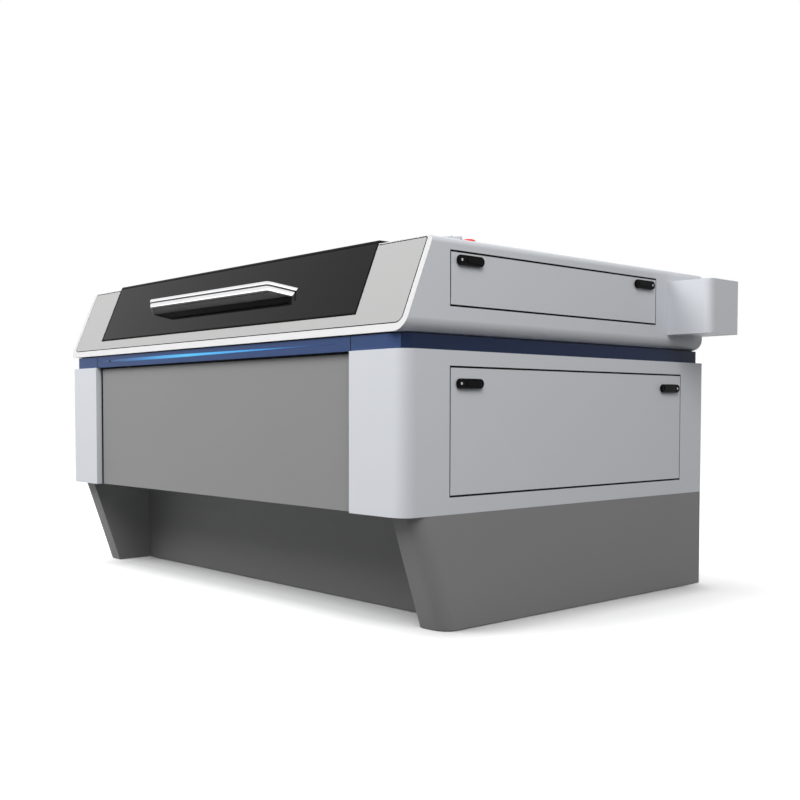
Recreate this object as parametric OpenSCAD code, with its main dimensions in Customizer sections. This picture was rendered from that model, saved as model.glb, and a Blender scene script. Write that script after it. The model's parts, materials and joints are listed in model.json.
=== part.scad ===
// Laser engraving machine: a floor-standing cabinet with a lifting bed, a
// two-axis gantry under a tinted lid, and a laser tube along the back.
// Millimetres. X runs to the machine's right, Y to its back, Z up from the floor.

/* [Body] */
// Width over the cabinet sides
body_w = 1900; // [1600:10:2300]
// Depth from the front pillars to the rear panel
body_d = 1405; // [1200:5:1700]
// Height of the plinth
plinth_h = 317; // [280:1:400]
// Height of the lower cabinet
cabinet_h = 439; // [400:1:520]
// Height of the blue belt
belt_h = 41; // [30:1:60]
// Height of the head above the belt
head_h = 256; // [240:1:310]
// Thickness of the sheet metal
sheet = 2; // [1.5:0.1:3]
// Radius of the upright front corners
corner_r = 45; // [30:1:60]

/* [Plinth] */
// Width of each plinth cheek
cheek_w = 96; // [70:1:130]
// Setback of the cheek's front edge at the top
cheek_top_y = 46; // [20:1:80]
// Setback of the cheek's front edge at the floor
cheek_toe_y = 157; // [100:1:200]
// Setback of the kick panel
kick_y = 292; // [220:1:320]
// Floor clearance under the plinth sheets
skirt_gap = 2; // [1:0.5:6]
// Diameter of a levelling foot's pad
foot_d = 60; // [40:1:80]

/* [Cabinet] */
// Width of each front pillar
pillar_w = 214; // [150:1:260]
// Setback of the front door behind the pillars
door_setback = 22; // [10:1:30]
// Depth of the folded front door
door_t = 20; // [14:1:24]
// Gap round every door
door_gap = 2.5; // [2:0.1:4]
// Setback of the belt behind the cabinet sides
belt_inset = 22; // [15:1:28]
// Setback of the belt behind the front pillars
belt_front = 6; // [3:1:20]
// Radius of the belt's front corners
belt_r = 50; // [35:1:60]
// Side of the square frame tube
tube_s = 40; // [30:1:50]
// Wall of the square frame tube
tube_wall = 2.5; // [1.5:0.1:4]

/* [Head] */
// Lean of the head's front face from the vertical, in degrees
front_slope = 23; // [15:0.5:30]
// Radius along the head's lower side edges
head_low_r = 38; // [20:1:50]
// Radius along the head's upper side edges
head_top_r = 20; // [8:1:30]
// Width of the white frame beside the fascia
trim_side = 20; // [12:1:30]
// Width of the white frame below the fascia, along the slope
trim_low = 24; // [16:1:32]
// Width of the dark joint round the fascia and the lid
joint_gap = 2.5; // [1.5:0.1:4]
// Width of the deck on each side of the lid
deck_w = 212; // [190:1:260]

/* [Lid] */
// Distance from the head's foot to the lid's lower edge, along the slope
lid_sill = 63; // [45:1:90]
// Height of the lid's top face above the deck
lid_rise = 10; // [6:1:16]
// Thickness of the tinted panes
pane_t = 5; // [3:0.5:8]
// Side of the lid's square frame tube
lid_tube = 25; // [20:1:30]
// Distance from the lid hinge axis to the rear panel
hinge_back = 425; // [400:1:460]
// Opening angle of the lid in degrees
lid_open = 55; // [40:1:60]

/* [Handle] */
// Length of the handle at the pane
handle_w = 850; // [500:1:1000]
// Length of the handle's front bar
handle_bar = 700; // [350:1:850]
// Reach of the handle from the pane
handle_reach = 61; // [45:1:80]
// Height of the handle along the slope
handle_h = 26; // [22:1:40]
// Distance from the head's foot to the handle, along the slope
handle_s = 146.6; // [110:0.1:200]

/* [Service doors] */
// Front edge of both service doors
door_y = 170; // [120:1:220]
// Width of the upper service door
upper_door_w = 956; // [700:1:960]
// Height of the upper service door
upper_door_h = 150; // [130:1:160]
// Width of the lower service door
lower_door_w = 1106; // [800:1:1110]
// Height of the lower service door
lower_door_h = 352; // [250:1:370]
// Length of a latch lever
latch_l = 103; // [80:1:120]
// Width of a latch lever
latch_w = 27; // [20:1:30]

/* [Laser tube] */
// Diameter of the laser tube
tube_d = 80; // [55:1:85]
// Length of the laser tube
tube_l = 1850; // [1500:10:1900]
// Reach of the end box beyond the cabinet side
end_box_x = 155; // [120:1:300]
// Depth of the end box along the side
end_box_y = 166; // [130:1:200]
// Height of the end box
end_box_h = 174; // [120:1:190]

/* [Bed and exhaust] */
// Drop of the lifting bed
bed_drop = 200; // [100:5:220]
// Outer diameter of the exhaust collar
duct_d = 150; // [100:1:200]
// Length of the exhaust collar
duct_l = 50; // [30:1:80]

/* [Hidden] */

$fn = 48;
big = 4000;             // reach of a cutting block
fit = 0.05;             // running clearance on a radius
rest_gap = 0.3;         // clearance of a piece that runs on its seat

// Levels
cabinet_z = plinth_h;
belt_z = plinth_h + cabinet_h;
head_gap = 3;           // shadow line between belt and head
head_z = belt_z + belt_h + head_gap;
head_top = head_z + head_h;
half_w = body_w / 2;

// Origin: middle of the footprint, end box and exhaust collar counted in
mid_x = end_box_x / 2;
mid_y = (body_d + duct_l) / 2;

// Sheet flanges
flange = 28;            // folded edge of the cabinet sides
fold_y = 50;            // depth of the pillars' inner fold
belt_t = 3;
floor_t = 3;
pillar_x = half_w - pillar_w;

// Main frame
// frame's faces behind the cabinet's faces, clear of the rounded front corners
frame_in = max(34, corner_r - (corner_r - flange - 1) / sqrt(2));
frame_x = half_w - frame_in - tube_s;
// a frame tube that reaches below the belt stands behind the pillars' folds
frame_y0 = head_z - tube_s < belt_z + rest_gap ? max(frame_in, fold_y + rest_gap)
                                               : frame_in;
frame_y1 = body_d - 5;
post_x = half_w - 160;  // inner posts beside the bed
cross_front = 130;
cross_rear = body_d - 445;
shelf_z = cabinet_z + 183;   // cross tubes under the bed screws

// Head
deck_x = half_w - deck_w;
rail_z = head_z + sheet;     // top of the head's lower shelves
trim_t = 3;
fascia_top = head_h - 3;     // height of the fascia's top edge over the head's foot
low_corner = 22;             // fascia corner radii
top_corner = 8;

// Lid
lid_x = deck_x - 4;
lid_top = head_top + lid_rise;
hinge_y = body_d - hinge_back;
hinge_z = lid_top - 4;
lid_rear = hinge_y - 12;
hinge_r = 5;
hinge_pin_r = 2.5;
hinge_x = [-0.6 * lid_x, 0, 0.6 * lid_x];

// Gas springs
spring_x = lid_x - 44;
spring_r = 9;
rod_r = 4;
anchor_y = hinge_y - 80;
anchor_z = head_top - 56;
lug_y = hinge_y - 370;       // the rod's end on the lid
lug_z = hinge_z - 18;
spring_l = norm([lug_y - anchor_y, lug_z - anchor_z]);
spring_a = atan2(lug_z - anchor_z, lug_y - anchor_y);
spring_tube_l = spring_l - 73;

// Service doors
upper_door_z = head_z + 72;
lower_door_z = cabinet_z + 46;
latch_in = 34.5;             // latch pivot from the door opening's end
latch_down_upper = 25;       // latch pivot below the opening's top
latch_down_lower = 47;
pivot_in = 7;                // door pivot behind the outer face
pivot_up = 5;                // door pivot above the door's lower edge
pivot_r = 3;
fold_t = 1.5;
fold_d = 14;
spindle_r = 4;
barrel_r = 8;

// Laser gantry
travel_x = body_w - 500;
travel_y = body_d - 505;
nozzle_y = travel_y + 115;   // home position, at the back
module_x = half_w - 150;     // inner face of a side module
module_w = 40;
module_h = 60;
module_y0 = 95;
module_y1 = nozzle_y + 110;
guide_z = rail_z + module_h;
guide_w = 15;
guide_h = 12;
beam_y = nozzle_y + 60;
beam_d = 50;
beam_h = 60;
plate_z = guide_z + guide_h + 16;
beam_z = plate_z + 9;
optic_z = beam_z + 31;       // height of the laser's path
shaft_y = module_y1 - 13;
shaft_z = rail_z + 30;
shaft_r = 6;

// Bed
bed_x = deck_x - 3;
bed_y0 = 95;
bed_y1 = nozzle_y + 20;
bed_top = head_z + 40;
slat_h = 20;
slat_t = 3;
slat_pitch = 48;
bed_tube = 30;
screw_x = bed_x + 22;
screw_y = [cross_front + 20, cross_rear + 20];
screw_r = 8;
nut_h = 20;
nut_z = bed_top - slat_h - bed_tube + 5;

// Laser tube and end box
tube_y = body_d - 128;
tube_z = optic_z;
end_box_z = tube_z - end_box_h / 2;
end_box_y0 = tube_y - end_box_y / 2;
end_box_r = 28;
wall_y = module_y1 + 15;     // chamber rear wall

// Console
estop_x = half_w - 95;
estop_y = 341;
key_x = estop_x - 60;
console_x0 = half_w - 187;
console_x1 = half_w - 95;
console_y0 = 190;
console_y1 = 317;

// ---------- shared shapes ----------

// Moves a piece from the body's own axes to the part's origin.
module placed() translate([-mid_x, -mid_y, 0]) children();

module mirrored_x() mirror([1, 0, 0]) children();

// Lays a flat (x, z) shape upright and gives it a depth from y0 to y1.
module along_y(y0, y1)
  translate([0, y1, 0]) rotate([90, 0, 0]) linear_extrude(y1 - y0) children();

// Lays a flat (y, z) shape upright and gives it a width from x0 to x1.
module along_x(x0, x1)
  translate([x0, 0, 0]) rotate([90, 0, 90]) linear_extrude(x1 - x0) children();

// The slanted front: x across, y into the machine, z up the slope.
module on_slope() translate([0, 0, head_z]) rotate([-front_slope, 0, 0]) children();

// Everything less than depth behind the slanted front.
module front_cut(depth)
  on_slope() translate([-big / 2, -big, -big / 2]) cube([big, big + depth, big]);

// The y of a plane that lies depth behind the slanted front, at height z.
function slope_y(depth, z) = (z - head_z) * tan(front_slope) + depth / cos(front_slope);

// A point depth behind the slanted front and s up the slope, as (y, z).
function slope_pt(depth, s) = [
  s * sin(front_slope) + depth * cos(front_slope),
  head_z + s * cos(front_slope) - depth * sin(front_slope)
];

// Square tube from a corner, with its length along one axis.
module tube_along(axis, length, side, wall) {
  size = [for (i = [0:2]) i == axis ? length : side];
  bore = [for (i = [0:2]) i == axis ? length + 2 : side - 2 * wall];
  start = [for (i = [0:2]) i == axis ? -1 : wall];
  difference() {
    cube(size);
    translate(start) cube(bore);
  }
}

// Takes the corner off a flat shape, leaving radius r. (x, y) is the corner and
// (dx, dy) points into the shape.
module corner_off(x, y, dx, dy, r)
  difference() {
    translate([dx > 0 ? x - 1 : x - r, dy > 0 ? y - 1 : y - r]) square(r + 1);
    translate([x + dx * r, y + dy * r]) circle(r);
  }

// Rectangle with its own radius for the lower and the upper corners.
module rounded_panel(x0, x1, y0, y1, low_r, top_r)
  difference() {
    translate([x0, y0]) square([x1 - x0, y1 - y0]);
    corner_off(x0, y0, 1, 1, low_r);
    corner_off(x1, y0, -1, 1, low_r);
    corner_off(x0, y1, 1, -1, top_r);
    corner_off(x1, y1, -1, -1, top_r);
  }

module stadium(length, width)
  union() {
    translate([0, -width / 2]) square([length - width, width]);
    circle(width / 2);
    translate([length - width, 0]) circle(width / 2);
  }

// Cylinder along +X or +Y from a point.
module rod_x(p, r, length) translate(p) rotate([0, 90, 0]) cylinder(h = length, r = r);
module rod_y(p, r, length) translate(p) rotate([-90, 0, 0]) cylinder(h = length, r = r);

// ---------- plinth ----------

// Solid body of the right cheek, drawn in by inset.
module cheek_body(inset) {
  lean = atan2(cheek_toe_y - cheek_top_y, plinth_h);
  x0 = half_w - cheek_w + inset;
  x1 = half_w - inset;
  difference() {
    translate([0, cheek_toe_y, 0]) rotate([lean, 0, 0])
      translate([0, inset, -big / 2]) linear_extrude(big)
        difference() {
          translate([x0, 0]) square([x1 - x0, body_d + 400]);
          corner_off(x1, 0, -1, 1, corner_r - inset);
        }
    translate([0, -big / 2, -big]) cube([big, big, big + (inset > 0 ? -1 : skirt_gap)]);
    translate([0, -big / 2, plinth_h + (inset > 0 ? 1 : 0)]) cube([big, big, big]);
    translate([0, body_d + (inset > 0 ? 1 : 0), -big / 2]) cube([big, big, big]);
  }
}

module plinth_cheek() {
  difference() {
    cheek_body(0);
    cheek_body(sheet);
    // the inner wall ends at the kick panel
    translate([0, kick_y + 20, -1]) cube([half_w - sheet, big, plinth_h + 2]);
  }
}

module plinth_cheeks() color("dimgray") {
  plinth_cheek();
  mirrored_x() plinth_cheek();
}

module plinth_kick_panel() color("dimgray") {
  w = half_w - cheek_w - rest_gap;
  translate([-w, kick_y, skirt_gap]) cube([2 * w, sheet, plinth_h - skirt_gap]);
  translate([-w, kick_y, plinth_h - sheet]) cube([2 * w, 22, sheet]);
  translate([-w, kick_y, skirt_gap]) cube([2 * w, 16, sheet]);
}

base_x = half_w - 150;
base_y = [kick_y + 30, (kick_y + body_d) / 2 - 10, body_d - 65];
foot_h = tube_s;

module base_frame() color("darkslategray") {
  y0 = base_y[0];
  y1 = base_y[2];
  difference() {
    union() {
      for (s = [-1, 1])
        translate([s > 0 ? base_x : -base_x - tube_s, y0, foot_h])
          tube_along(1, y1 + tube_s - y0, tube_s, tube_wall);
      for (y = base_y)
        translate([-base_x, y, foot_h]) tube_along(0, 2 * base_x, tube_s, tube_wall);
      for (s = [-1, 1], y = base_y)
        translate([s > 0 ? base_x : -base_x - tube_s, y, foot_h + tube_s])
          tube_along(2, plinth_h - foot_h - tube_s, tube_s, tube_wall);
    }
    // holes for the levelling feet
    for (s = [-1, 1], y = base_y)
      translate([s * (base_x + tube_s / 2), y + tube_s / 2, foot_h - 1])
        cylinder(h = tube_wall + 2, r = 8.5);
  }
}

module levelling_feet() color("gray")
  for (s = [-1, 1], y = base_y)
    translate([s * (base_x + tube_s / 2), y + tube_s / 2, 0]) {
      cylinder(h = 6, d = foot_d);
      translate([0, 0, 6]) cylinder(h = 8, d1 = foot_d, d2 = 24);
      cylinder(h = foot_h + 24, r = 8);
      translate([0, 0, foot_h - 13]) cylinder(h = 13, r = 14, $fn = 6);
    }

// ---------- cabinet ----------

// Plan of the right cabinet side with its pillar, drawn in by inset.
module side_plan(inset, y_end)
  difference() {
    translate([pillar_x + inset, inset]) square([pillar_w - 2 * inset, y_end - inset]);
    corner_off(half_w - inset, inset, -1, 1, corner_r - inset);
  }

module cabinet_side(with_door) {
  h = cabinet_h;
  difference() {
    translate([0, 0, cabinet_z]) linear_extrude(h)
      difference() {
        side_plan(0, body_d);
        side_plan(sheet, body_d + 1);
        translate([0, fold_y]) square([half_w - sheet, body_d]);
      }
    if (with_door)
      translate([half_w - sheet - 1, door_y, lower_door_z])
        cube([sheet + 2, lower_door_w, lower_door_h]);
    // clearance for the front door's pivot pin
    rod_x([pillar_x - 1, door_setback + 8, cabinet_z + 1 + 8], pivot_r + 1, sheet + 2);
  }
  // folded edges at the top and the foot
  for (z = [cabinet_z, belt_z - sheet])
    translate([0, 0, z]) linear_extrude(sheet)
      difference() {
        side_plan(0, body_d - sheet);
        side_plan(flange, body_d + 1);
        translate([0, fold_y]) square([half_w - flange, body_d]);
      }
}

module cabinet_side_left() color("gainsboro") mirrored_x() cabinet_side(false);
module cabinet_side_right() color("gainsboro") cabinet_side(true);

module cabinet_floor() color("silver") {
  w = half_w - flange - 1;
  y0 = fold_y + rest_gap;
  translate([-w, y0, cabinet_z]) cube([2 * w, body_d - sheet - y0, floor_t]);
}

module main_frame() color("darkslategray") {
  z0 = cabinet_z + floor_t;
  z1 = head_z - tube_s;
  len_y = frame_y1 - frame_y0;
  for (s = [-1, 1]) {
    side_x = s > 0 ? frame_x : -frame_x - tube_s;
    in_x = s > 0 ? post_x : -post_x - tube_s;
    for (z = [z0, z1])
      translate([side_x, frame_y0, z]) tube_along(1, len_y, tube_s, tube_wall);
    for (y = [frame_y0, frame_y1 - tube_s])
      translate([side_x, y, z0 + tube_s])
        tube_along(2, z1 - z0 - tube_s, tube_s, tube_wall);
    for (y = [cross_front, cross_rear]) {
      translate([in_x, y, z0 + tube_s])
        tube_along(2, z1 - z0, tube_s, tube_wall);
      // stub from the post to the side tube
      translate([s > 0 ? in_x + tube_s : side_x + tube_s, y, z1])
        tube_along(0, frame_x - post_x - tube_s, tube_s, tube_wall);
    }
  }
  for (y = [frame_y0, frame_y1 - tube_s])
    translate([-frame_x, y, z1]) tube_along(0, 2 * frame_x, tube_s, tube_wall);
  for (y = [60, cross_front, cross_rear, frame_y1 - tube_s])
    translate([-frame_x, y, z0]) tube_along(0, 2 * frame_x, tube_s, tube_wall);
  for (y = [cross_front, cross_rear])
    translate([-post_x, y, shelf_z]) tube_along(0, 2 * post_x, tube_s, tube_wall);
  // bearing blocks of the bed screws
  for (s = [-1, 1], y = screw_y)
    translate([s * screw_x, y, shelf_z + tube_s])
      difference() {
        translate([-20, -20, 0]) cube([40, 40, 16]);
        translate([0, 0, -1]) cylinder(h = 18, r = screw_r + fit);
      }
}

module rear_panel() color("gainsboro") {
  duct_x = -0.25 * body_w;
  duct_z = belt_z - 196;
  difference() {
    union() {
      translate([-half_w + sheet, body_d - sheet, skirt_gap])
        cube([body_w - 2 * sheet, sheet, belt_z - skirt_gap - sheet]);
      translate([-half_w + flange, body_d - sheet, belt_z - sheet - 1])
        cube([body_w - 2 * flange, sheet, belt_h + sheet + 1]);
    }
    translate([duct_x, body_d - sheet - 1, duct_z]) rotate([-90, 0, 0])
      cylinder(h = sheet + 2, d = duct_d - 4);
    for (i = [0:9], x = [0.22, 0.33])
      translate([x * body_w, body_d - sheet - 1, cabinet_z + 110 + 26 * i])
        cube([150, sheet + 2, 6]);
  }
}

module exhaust_collar() color("silver") {
  duct_x = -0.25 * body_w;
  duct_z = belt_z - 196;
  translate([duct_x, body_d, duct_z]) rotate([-90, 0, 0])
    difference() {
      union() {
        cylinder(h = duct_l, d = duct_d);
        cylinder(h = sheet, d = duct_d + 44);
      }
      translate([0, 0, -1]) cylinder(h = duct_l + 2, d = duct_d - 4);
    }
}

module front_door() color("gray") {
  w = pillar_x - door_gap;
  z0 = cabinet_z + 1;
  h = cabinet_h - 3;
  y0 = door_setback;
  difference() {
    translate([-w, y0, z0]) cube([2 * w, door_t, h]);
    translate([-w + fold_t, y0 + sheet, z0 + fold_t])
      cube([2 * (w - fold_t), door_t, h - 2 * fold_t]);
    for (s = [-1, 1])
      rod_x([s * w - 3, y0 + 8, z0 + 8], pivot_r + fit, 6);
  }
  // pivot bosses inside the folded edges
  for (s = [-1, 1])
    difference() {
      rod_x([s > 0 ? w - fold_t - 5 : -w + fold_t, y0 + 8, z0 + 8], 6, 5);
      rod_x([s > 0 ? w - fold_t - 6 : -w + fold_t - 1, y0 + 8, z0 + 8], pivot_r + fit, 7);
    }
}

// Folded tray for an opening in the right side: y0 and z0 are the opening's corner.
module side_door(z0, w, h, latch_down) {
  g = door_gap;
  difference() {
    translate([half_w - fold_d, door_y + g, z0 + g])
      cube([fold_d, w - 2 * g, h - 2 * g]);
    translate([half_w - fold_d - 1, door_y + g + fold_t, z0 + g + fold_t])
      cube([fold_d - sheet + 1, w - 2 * (g + fold_t), h - 2 * (g + fold_t)]);
    rod_y([half_w - pivot_in, door_y, z0 + g + pivot_up], pivot_r + fit, w);
    for (y = [door_y + latch_in, door_y + w - latch_in])
      rod_x([half_w - sheet - 1, y, z0 + h - latch_down], barrel_r + 0.2, sheet + 2);
  }
  for (y = [door_y + g + fold_t, door_y + w - g - fold_t - 5])
    difference() {
      rod_y([half_w - pivot_in, y, z0 + g + pivot_up], pivot_up - 0.5, 5);
      rod_y([half_w - pivot_in, y - 1, z0 + g + pivot_up], pivot_r + fit, 7);
    }
}

module side_door_lower() color("gainsboro")
  side_door(lower_door_z, lower_door_w, lower_door_h, latch_down_lower);
module side_door_upper() color("gainsboro")
  side_door(upper_door_z, upper_door_w, upper_door_h, latch_down_upper);

// Bracket and pin behind one lower corner of a side door opening.
module side_pivot(y, dir, z) {
  // the bracket stands outside the opening, against the side sheet
  translate([half_w - sheet - 16, dir > 0 ? y - 14 : y + 1, z - 9]) cube([16, 13, 18]);
  rod_y([half_w - pivot_in, dir > 0 ? y - 10 : y - door_gap - 5, z], pivot_r,
        15 + door_gap);
}

module door_pivots() color("silver") {
  for (d = [[lower_door_z, lower_door_w], [upper_door_z, upper_door_w]]) {
    side_pivot(door_y, 1, d[0] + door_gap + pivot_up);
    side_pivot(door_y + d[1], -1, d[0] + door_gap + pivot_up);
  }
  for (s = [-1, 1]) {
    y = door_setback + 8;
    z = cabinet_z + 9;
    translate([s > 0 ? pillar_x + sheet : -pillar_x - sheet - 12, y - 8, z - 7])
      cube([12, 22, 18]);
    rod_x([s > 0 ? pillar_x - door_gap - 6 : -pillar_x - sheet - 6, y, z], pivot_r,
          door_gap + 12 + sheet);
  }
}

// ---------- belt ----------

// Plan of the right belt length, set back behind the cabinet's faces and
// drawn in by t.
module belt_plan(x0, t, y_end) {
  x1 = half_w - belt_inset - t;
  y0 = belt_front + t;
  difference() {
    translate([x0, y0]) square([x1 - x0, y_end - y0]);
    corner_off(x1, y0, -1, 1, belt_r - t);
  }
}

module belt_end() {
  x0 = pillar_x + 0.5;
  translate([0, 0, belt_z]) linear_extrude(belt_h)
    difference() {
      belt_plan(x0, 0, body_d - sheet);
      belt_plan(x0 - 1, belt_t, body_d);
    }
  // folded edge against the frame
  translate([0, 0, belt_z + belt_h - sheet]) linear_extrude(sheet)
    difference() {
      belt_plan(x0, 0, body_d - sheet);
      translate([0, frame_in]) square([half_w - frame_in, body_d]);
    }
}

module belt_ends() color("midnightblue") {
  belt_end();
  mirrored_x() belt_end();
}

strip_x0 = -0.375 * body_w;
strip_x1 = 0.355 * body_w;
strip_z = belt_z + belt_h / 2 + 2;
strip_h = 11;

// Long lens shape, pointed at both ends.
module strip_shape(extra)
  polygon([
    [strip_x0 - extra, strip_z],
    [strip_x0 + 180, strip_z - strip_h / 2 - extra],
    [strip_x0 + 480, strip_z - strip_h / 2 - extra],
    [strip_x1 + extra, strip_z],
    [strip_x0 + 480, strip_z + strip_h / 2 + extra],
    [strip_x0 + 180, strip_z + strip_h / 2 + extra]
  ]);

module belt_centre() color("midnightblue") {
  w = pillar_x - 0.5;
  difference() {
    translate([-w, belt_front, belt_z]) cube([2 * w, belt_t, belt_h]);
    along_y(belt_front - 1, belt_front + belt_t + 1) strip_shape(rest_gap);
  }
  translate([-w, belt_front, belt_z + belt_h - sheet])
    cube([2 * w, frame_y0 - belt_front, sheet]);
  translate([-w, belt_front, belt_z]) cube([2 * w, 18, sheet]);
}

module light_strip() color("deepskyblue")
  along_y(belt_front - 0.8, belt_front + belt_t) strip_shape(0);

// ---------- head ----------

// Cross-section of the head seen from the front, drawn in by inset.
module head_section(inset)
  rounded_panel(-half_w + inset, half_w - inset, head_z + inset, head_top - inset,
                head_low_r - inset, head_top_r - inset);

module head_side(right) {
  y1 = body_d - sheet;
  flange_h = 70;
  difference() {
    union() {
      intersection() {
        along_y(0, y1)
          difference() {
            head_section(0);
            head_section(sheet);
          }
        union() {
          translate([deck_x, -1, head_z + head_h / 2]) cube([deck_w, body_d, head_h]);
          translate([module_x - 15, -1, head_z - 1])
            cube([half_w, body_d, head_h / 2 + 1]);
        }
      }
      // turned-down edge beside the lid
      translate([deck_x, 0, head_top - flange_h])
        cube([sheet, hinge_y + 10, flange_h - 1]);
    }
    front_cut(trim_t);
    if (right) {
      translate([half_w - sheet - 1, door_y, upper_door_z])
        cube([sheet + 2, upper_door_w, upper_door_h]);
      // the laser tube passes into the end box
      translate([half_w - sheet - 1, end_box_y0 + 12, end_box_z + 12])
        cube([sheet + 2, end_box_y - 24, end_box_h - 24]);
      translate([estop_x, estop_y, head_top - sheet - 1])
        cylinder(h = sheet + 2, r = 11.3);
      translate([key_x, estop_y, head_top - sheet - 1])
        cylinder(h = sheet + 2, r = 8 + fit);
    }
  }
}

module head_side_left() color("gainsboro") mirrored_x() head_side(false);
module head_side_right() color("gainsboro") head_side(true);

// Outline of the fascia in the slope's plane, drawn in by inset.
module fascia_outline(inset)
  rounded_panel(-half_w + trim_side + inset, half_w - trim_side - inset,
                trim_low + inset, fascia_top / cos(front_slope) - inset,
                low_corner - inset, top_corner - inset);

// A flat (x, s) shape on the slope, from depth d0 to d1.
module slope_sheet(d0, d1) on_slope() along_y(d0, d1) children();

module head_front_frame() color("white") {
  difference() {
    intersection() {
      along_y(-100, 400) head_section(0);
      on_slope() translate([-half_w, 0, -50]) cube([body_w, trim_t, head_h * 2]);
    }
    slope_sheet(-1, trim_t + 1) {
      fascia_outline(0);
      lid_opening(joint_gap);
    }
  }
  // ledge that the fascia sits on
  slope_sheet(trim_t, trim_t + 1.5)
    difference() {
      fascia_outline(-4);
      fascia_outline(8);
      translate([-half_w, (fascia_top - 12) / cos(front_slope)])
        square([body_w, 100]);
    }
  // folded foot that rests on the frame
  difference() {
    translate([-module_x + 16, 0, head_z])
      cube([2 * (module_x - 16), frame_y0 + tube_s, sheet]);
    front_cut(0.5);
  }
}

module lid_opening(extra)
  translate([-lid_x - extra, lid_sill - extra])
    square([2 * (lid_x + extra), head_h * 2]);

module front_fascia() color("lightgray") {
  slope_sheet(0, trim_t)
    difference() {
      fascia_outline(joint_gap);
      lid_opening(joint_gap);
    }
  // turned-in edge round the lid's opening
  slope_sheet(trim_t, 18)
    difference() {
      intersection() {
        lid_opening(joint_gap + 1.4);
        translate([-half_w, 0])
          square([body_w, (fascia_top - 10) / cos(front_slope)]);
      }
      lid_opening(joint_gap);
    }
}

module head_rear_cover() color("gainsboro") {
  cover_y = hinge_y + 8;
  translate([-deck_x, cover_y, head_top - sheet])
    cube([2 * deck_x, body_d - cover_y, sheet]);
  translate([-deck_x, cover_y, head_top - 26]) cube([2 * deck_x, sheet, 26]);
  difference() {
    along_y(body_d - sheet, body_d) head_section(0);
    for (i = [0:5], x = [-0.34, -0.1, 0.14])
      translate([x * body_w, body_d - sheet - 1, head_z + 60 + 24 * i])
        cube([0.16 * body_w, sheet + 2, 6]);
  }
}

module chamber_rear_wall() color("silver") {
  w = half_w - 45;
  difference() {
    translate([-w, wall_y, rail_z]) cube([2 * w, sheet, head_h - 2 * sheet - 1]);
    // the beam leaves through here
    rod_y([-module_x - 70, wall_y - 1, optic_z], 12, sheet + 2);
  }
  translate([-w, wall_y, rail_z]) cube([2 * w, body_d - wall_y - 10, sheet]);
}

module tube_end_box() color("gainsboro") {
  x1 = half_w + end_box_x;
  y0 = end_box_y0;
  difference() {
    translate([0, 0, end_box_z]) linear_extrude(end_box_h)
      difference() {
        translate([half_w, y0]) square([end_box_x, end_box_y]);
        corner_off(x1, y0, -1, 1, end_box_r);
      }
    translate([0, 0, end_box_z + sheet]) linear_extrude(end_box_h - 2 * sheet)
      difference() {
        translate([half_w - 1, y0 + sheet])
          square([end_box_x + 1 - sheet, end_box_y - 2 * sheet]);
        corner_off(x1 - sheet, y0 + sheet, -1, 1, end_box_r - sheet);
      }
  }
}

// ---------- lid ----------

module lid_front_pane() color("black")
  difference() {
    on_slope() translate([-lid_x, 0, lid_sill]) cube([2 * lid_x, pane_t, head_h * 2]);
    translate([-big / 2, -big / 2, lid_top - pane_t]) cube([big, big, big]);
  }

module lid_top_pane() color("black")
  difference() {
    translate([-lid_x, 0, lid_top - pane_t]) cube([2 * lid_x, lid_rear, pane_t]);
    front_cut(0);
  }

// Side view of the lid frame's bent tube, drawn in by inset.
module lid_bend(inset) {
  d0 = pane_t + inset;
  d1 = pane_t + lid_tube - inset;
  z0 = lid_top - pane_t - inset;
  z1 = lid_top - pane_t - lid_tube + inset;
  s0 = lid_sill + inset;
  polygon([
    slope_pt(d0, s0), slope_pt(d1, s0), [slope_y(d1, z1), z1],
    [lid_rear - inset, z1], [lid_rear - inset, z0], [slope_y(d0, z0), z0]
  ]);
}

module lid_frame() color("black") {
  z1 = lid_top - pane_t - lid_tube;
  in_x = lid_x - lid_tube;
  wall = 2;
  for (s = [-1, 1])
    difference() {
      along_x(s > 0 ? in_x : -lid_x, s > 0 ? lid_x : -in_x) lid_bend(0);
      along_x(s > 0 ? in_x + wall : -lid_x + wall, s > 0 ? lid_x - wall : -in_x - wall)
        lid_bend(wall);
    }
  on_slope() translate([-in_x - 1, pane_t + 0.2, lid_sill + 0.2])
    tube_along(0, 2 * in_x + 2, lid_tube - 0.4, wall);
  for (y = [slope_y(pane_t + lid_tube, z1) + 1, hinge_y / 2, lid_rear - lid_tube])
    translate([-in_x, y, z1]) tube_along(0, 2 * in_x, lid_tube, wall);
  // moving knuckles of the hinges
  for (x = hinge_x)
    difference() {
      union() {
        rod_x([x - 14.5, hinge_y, hinge_z], hinge_r, 29);
        translate([x - 14.5, lid_rear, hinge_z - hinge_r]) cube([29, 12, hinge_r - 0.5]);
      }
      rod_x([x - 16, hinge_y, hinge_z], hinge_pin_r + fit, 32);
    }
  // studs for the gas springs
  for (s = [-1, 1])
    rod_x([s > 0 ? spring_x + 6.3 : -in_x - 1, lug_y, lug_z], rod_r,
          in_x - spring_x - 5.3);
}

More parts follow.
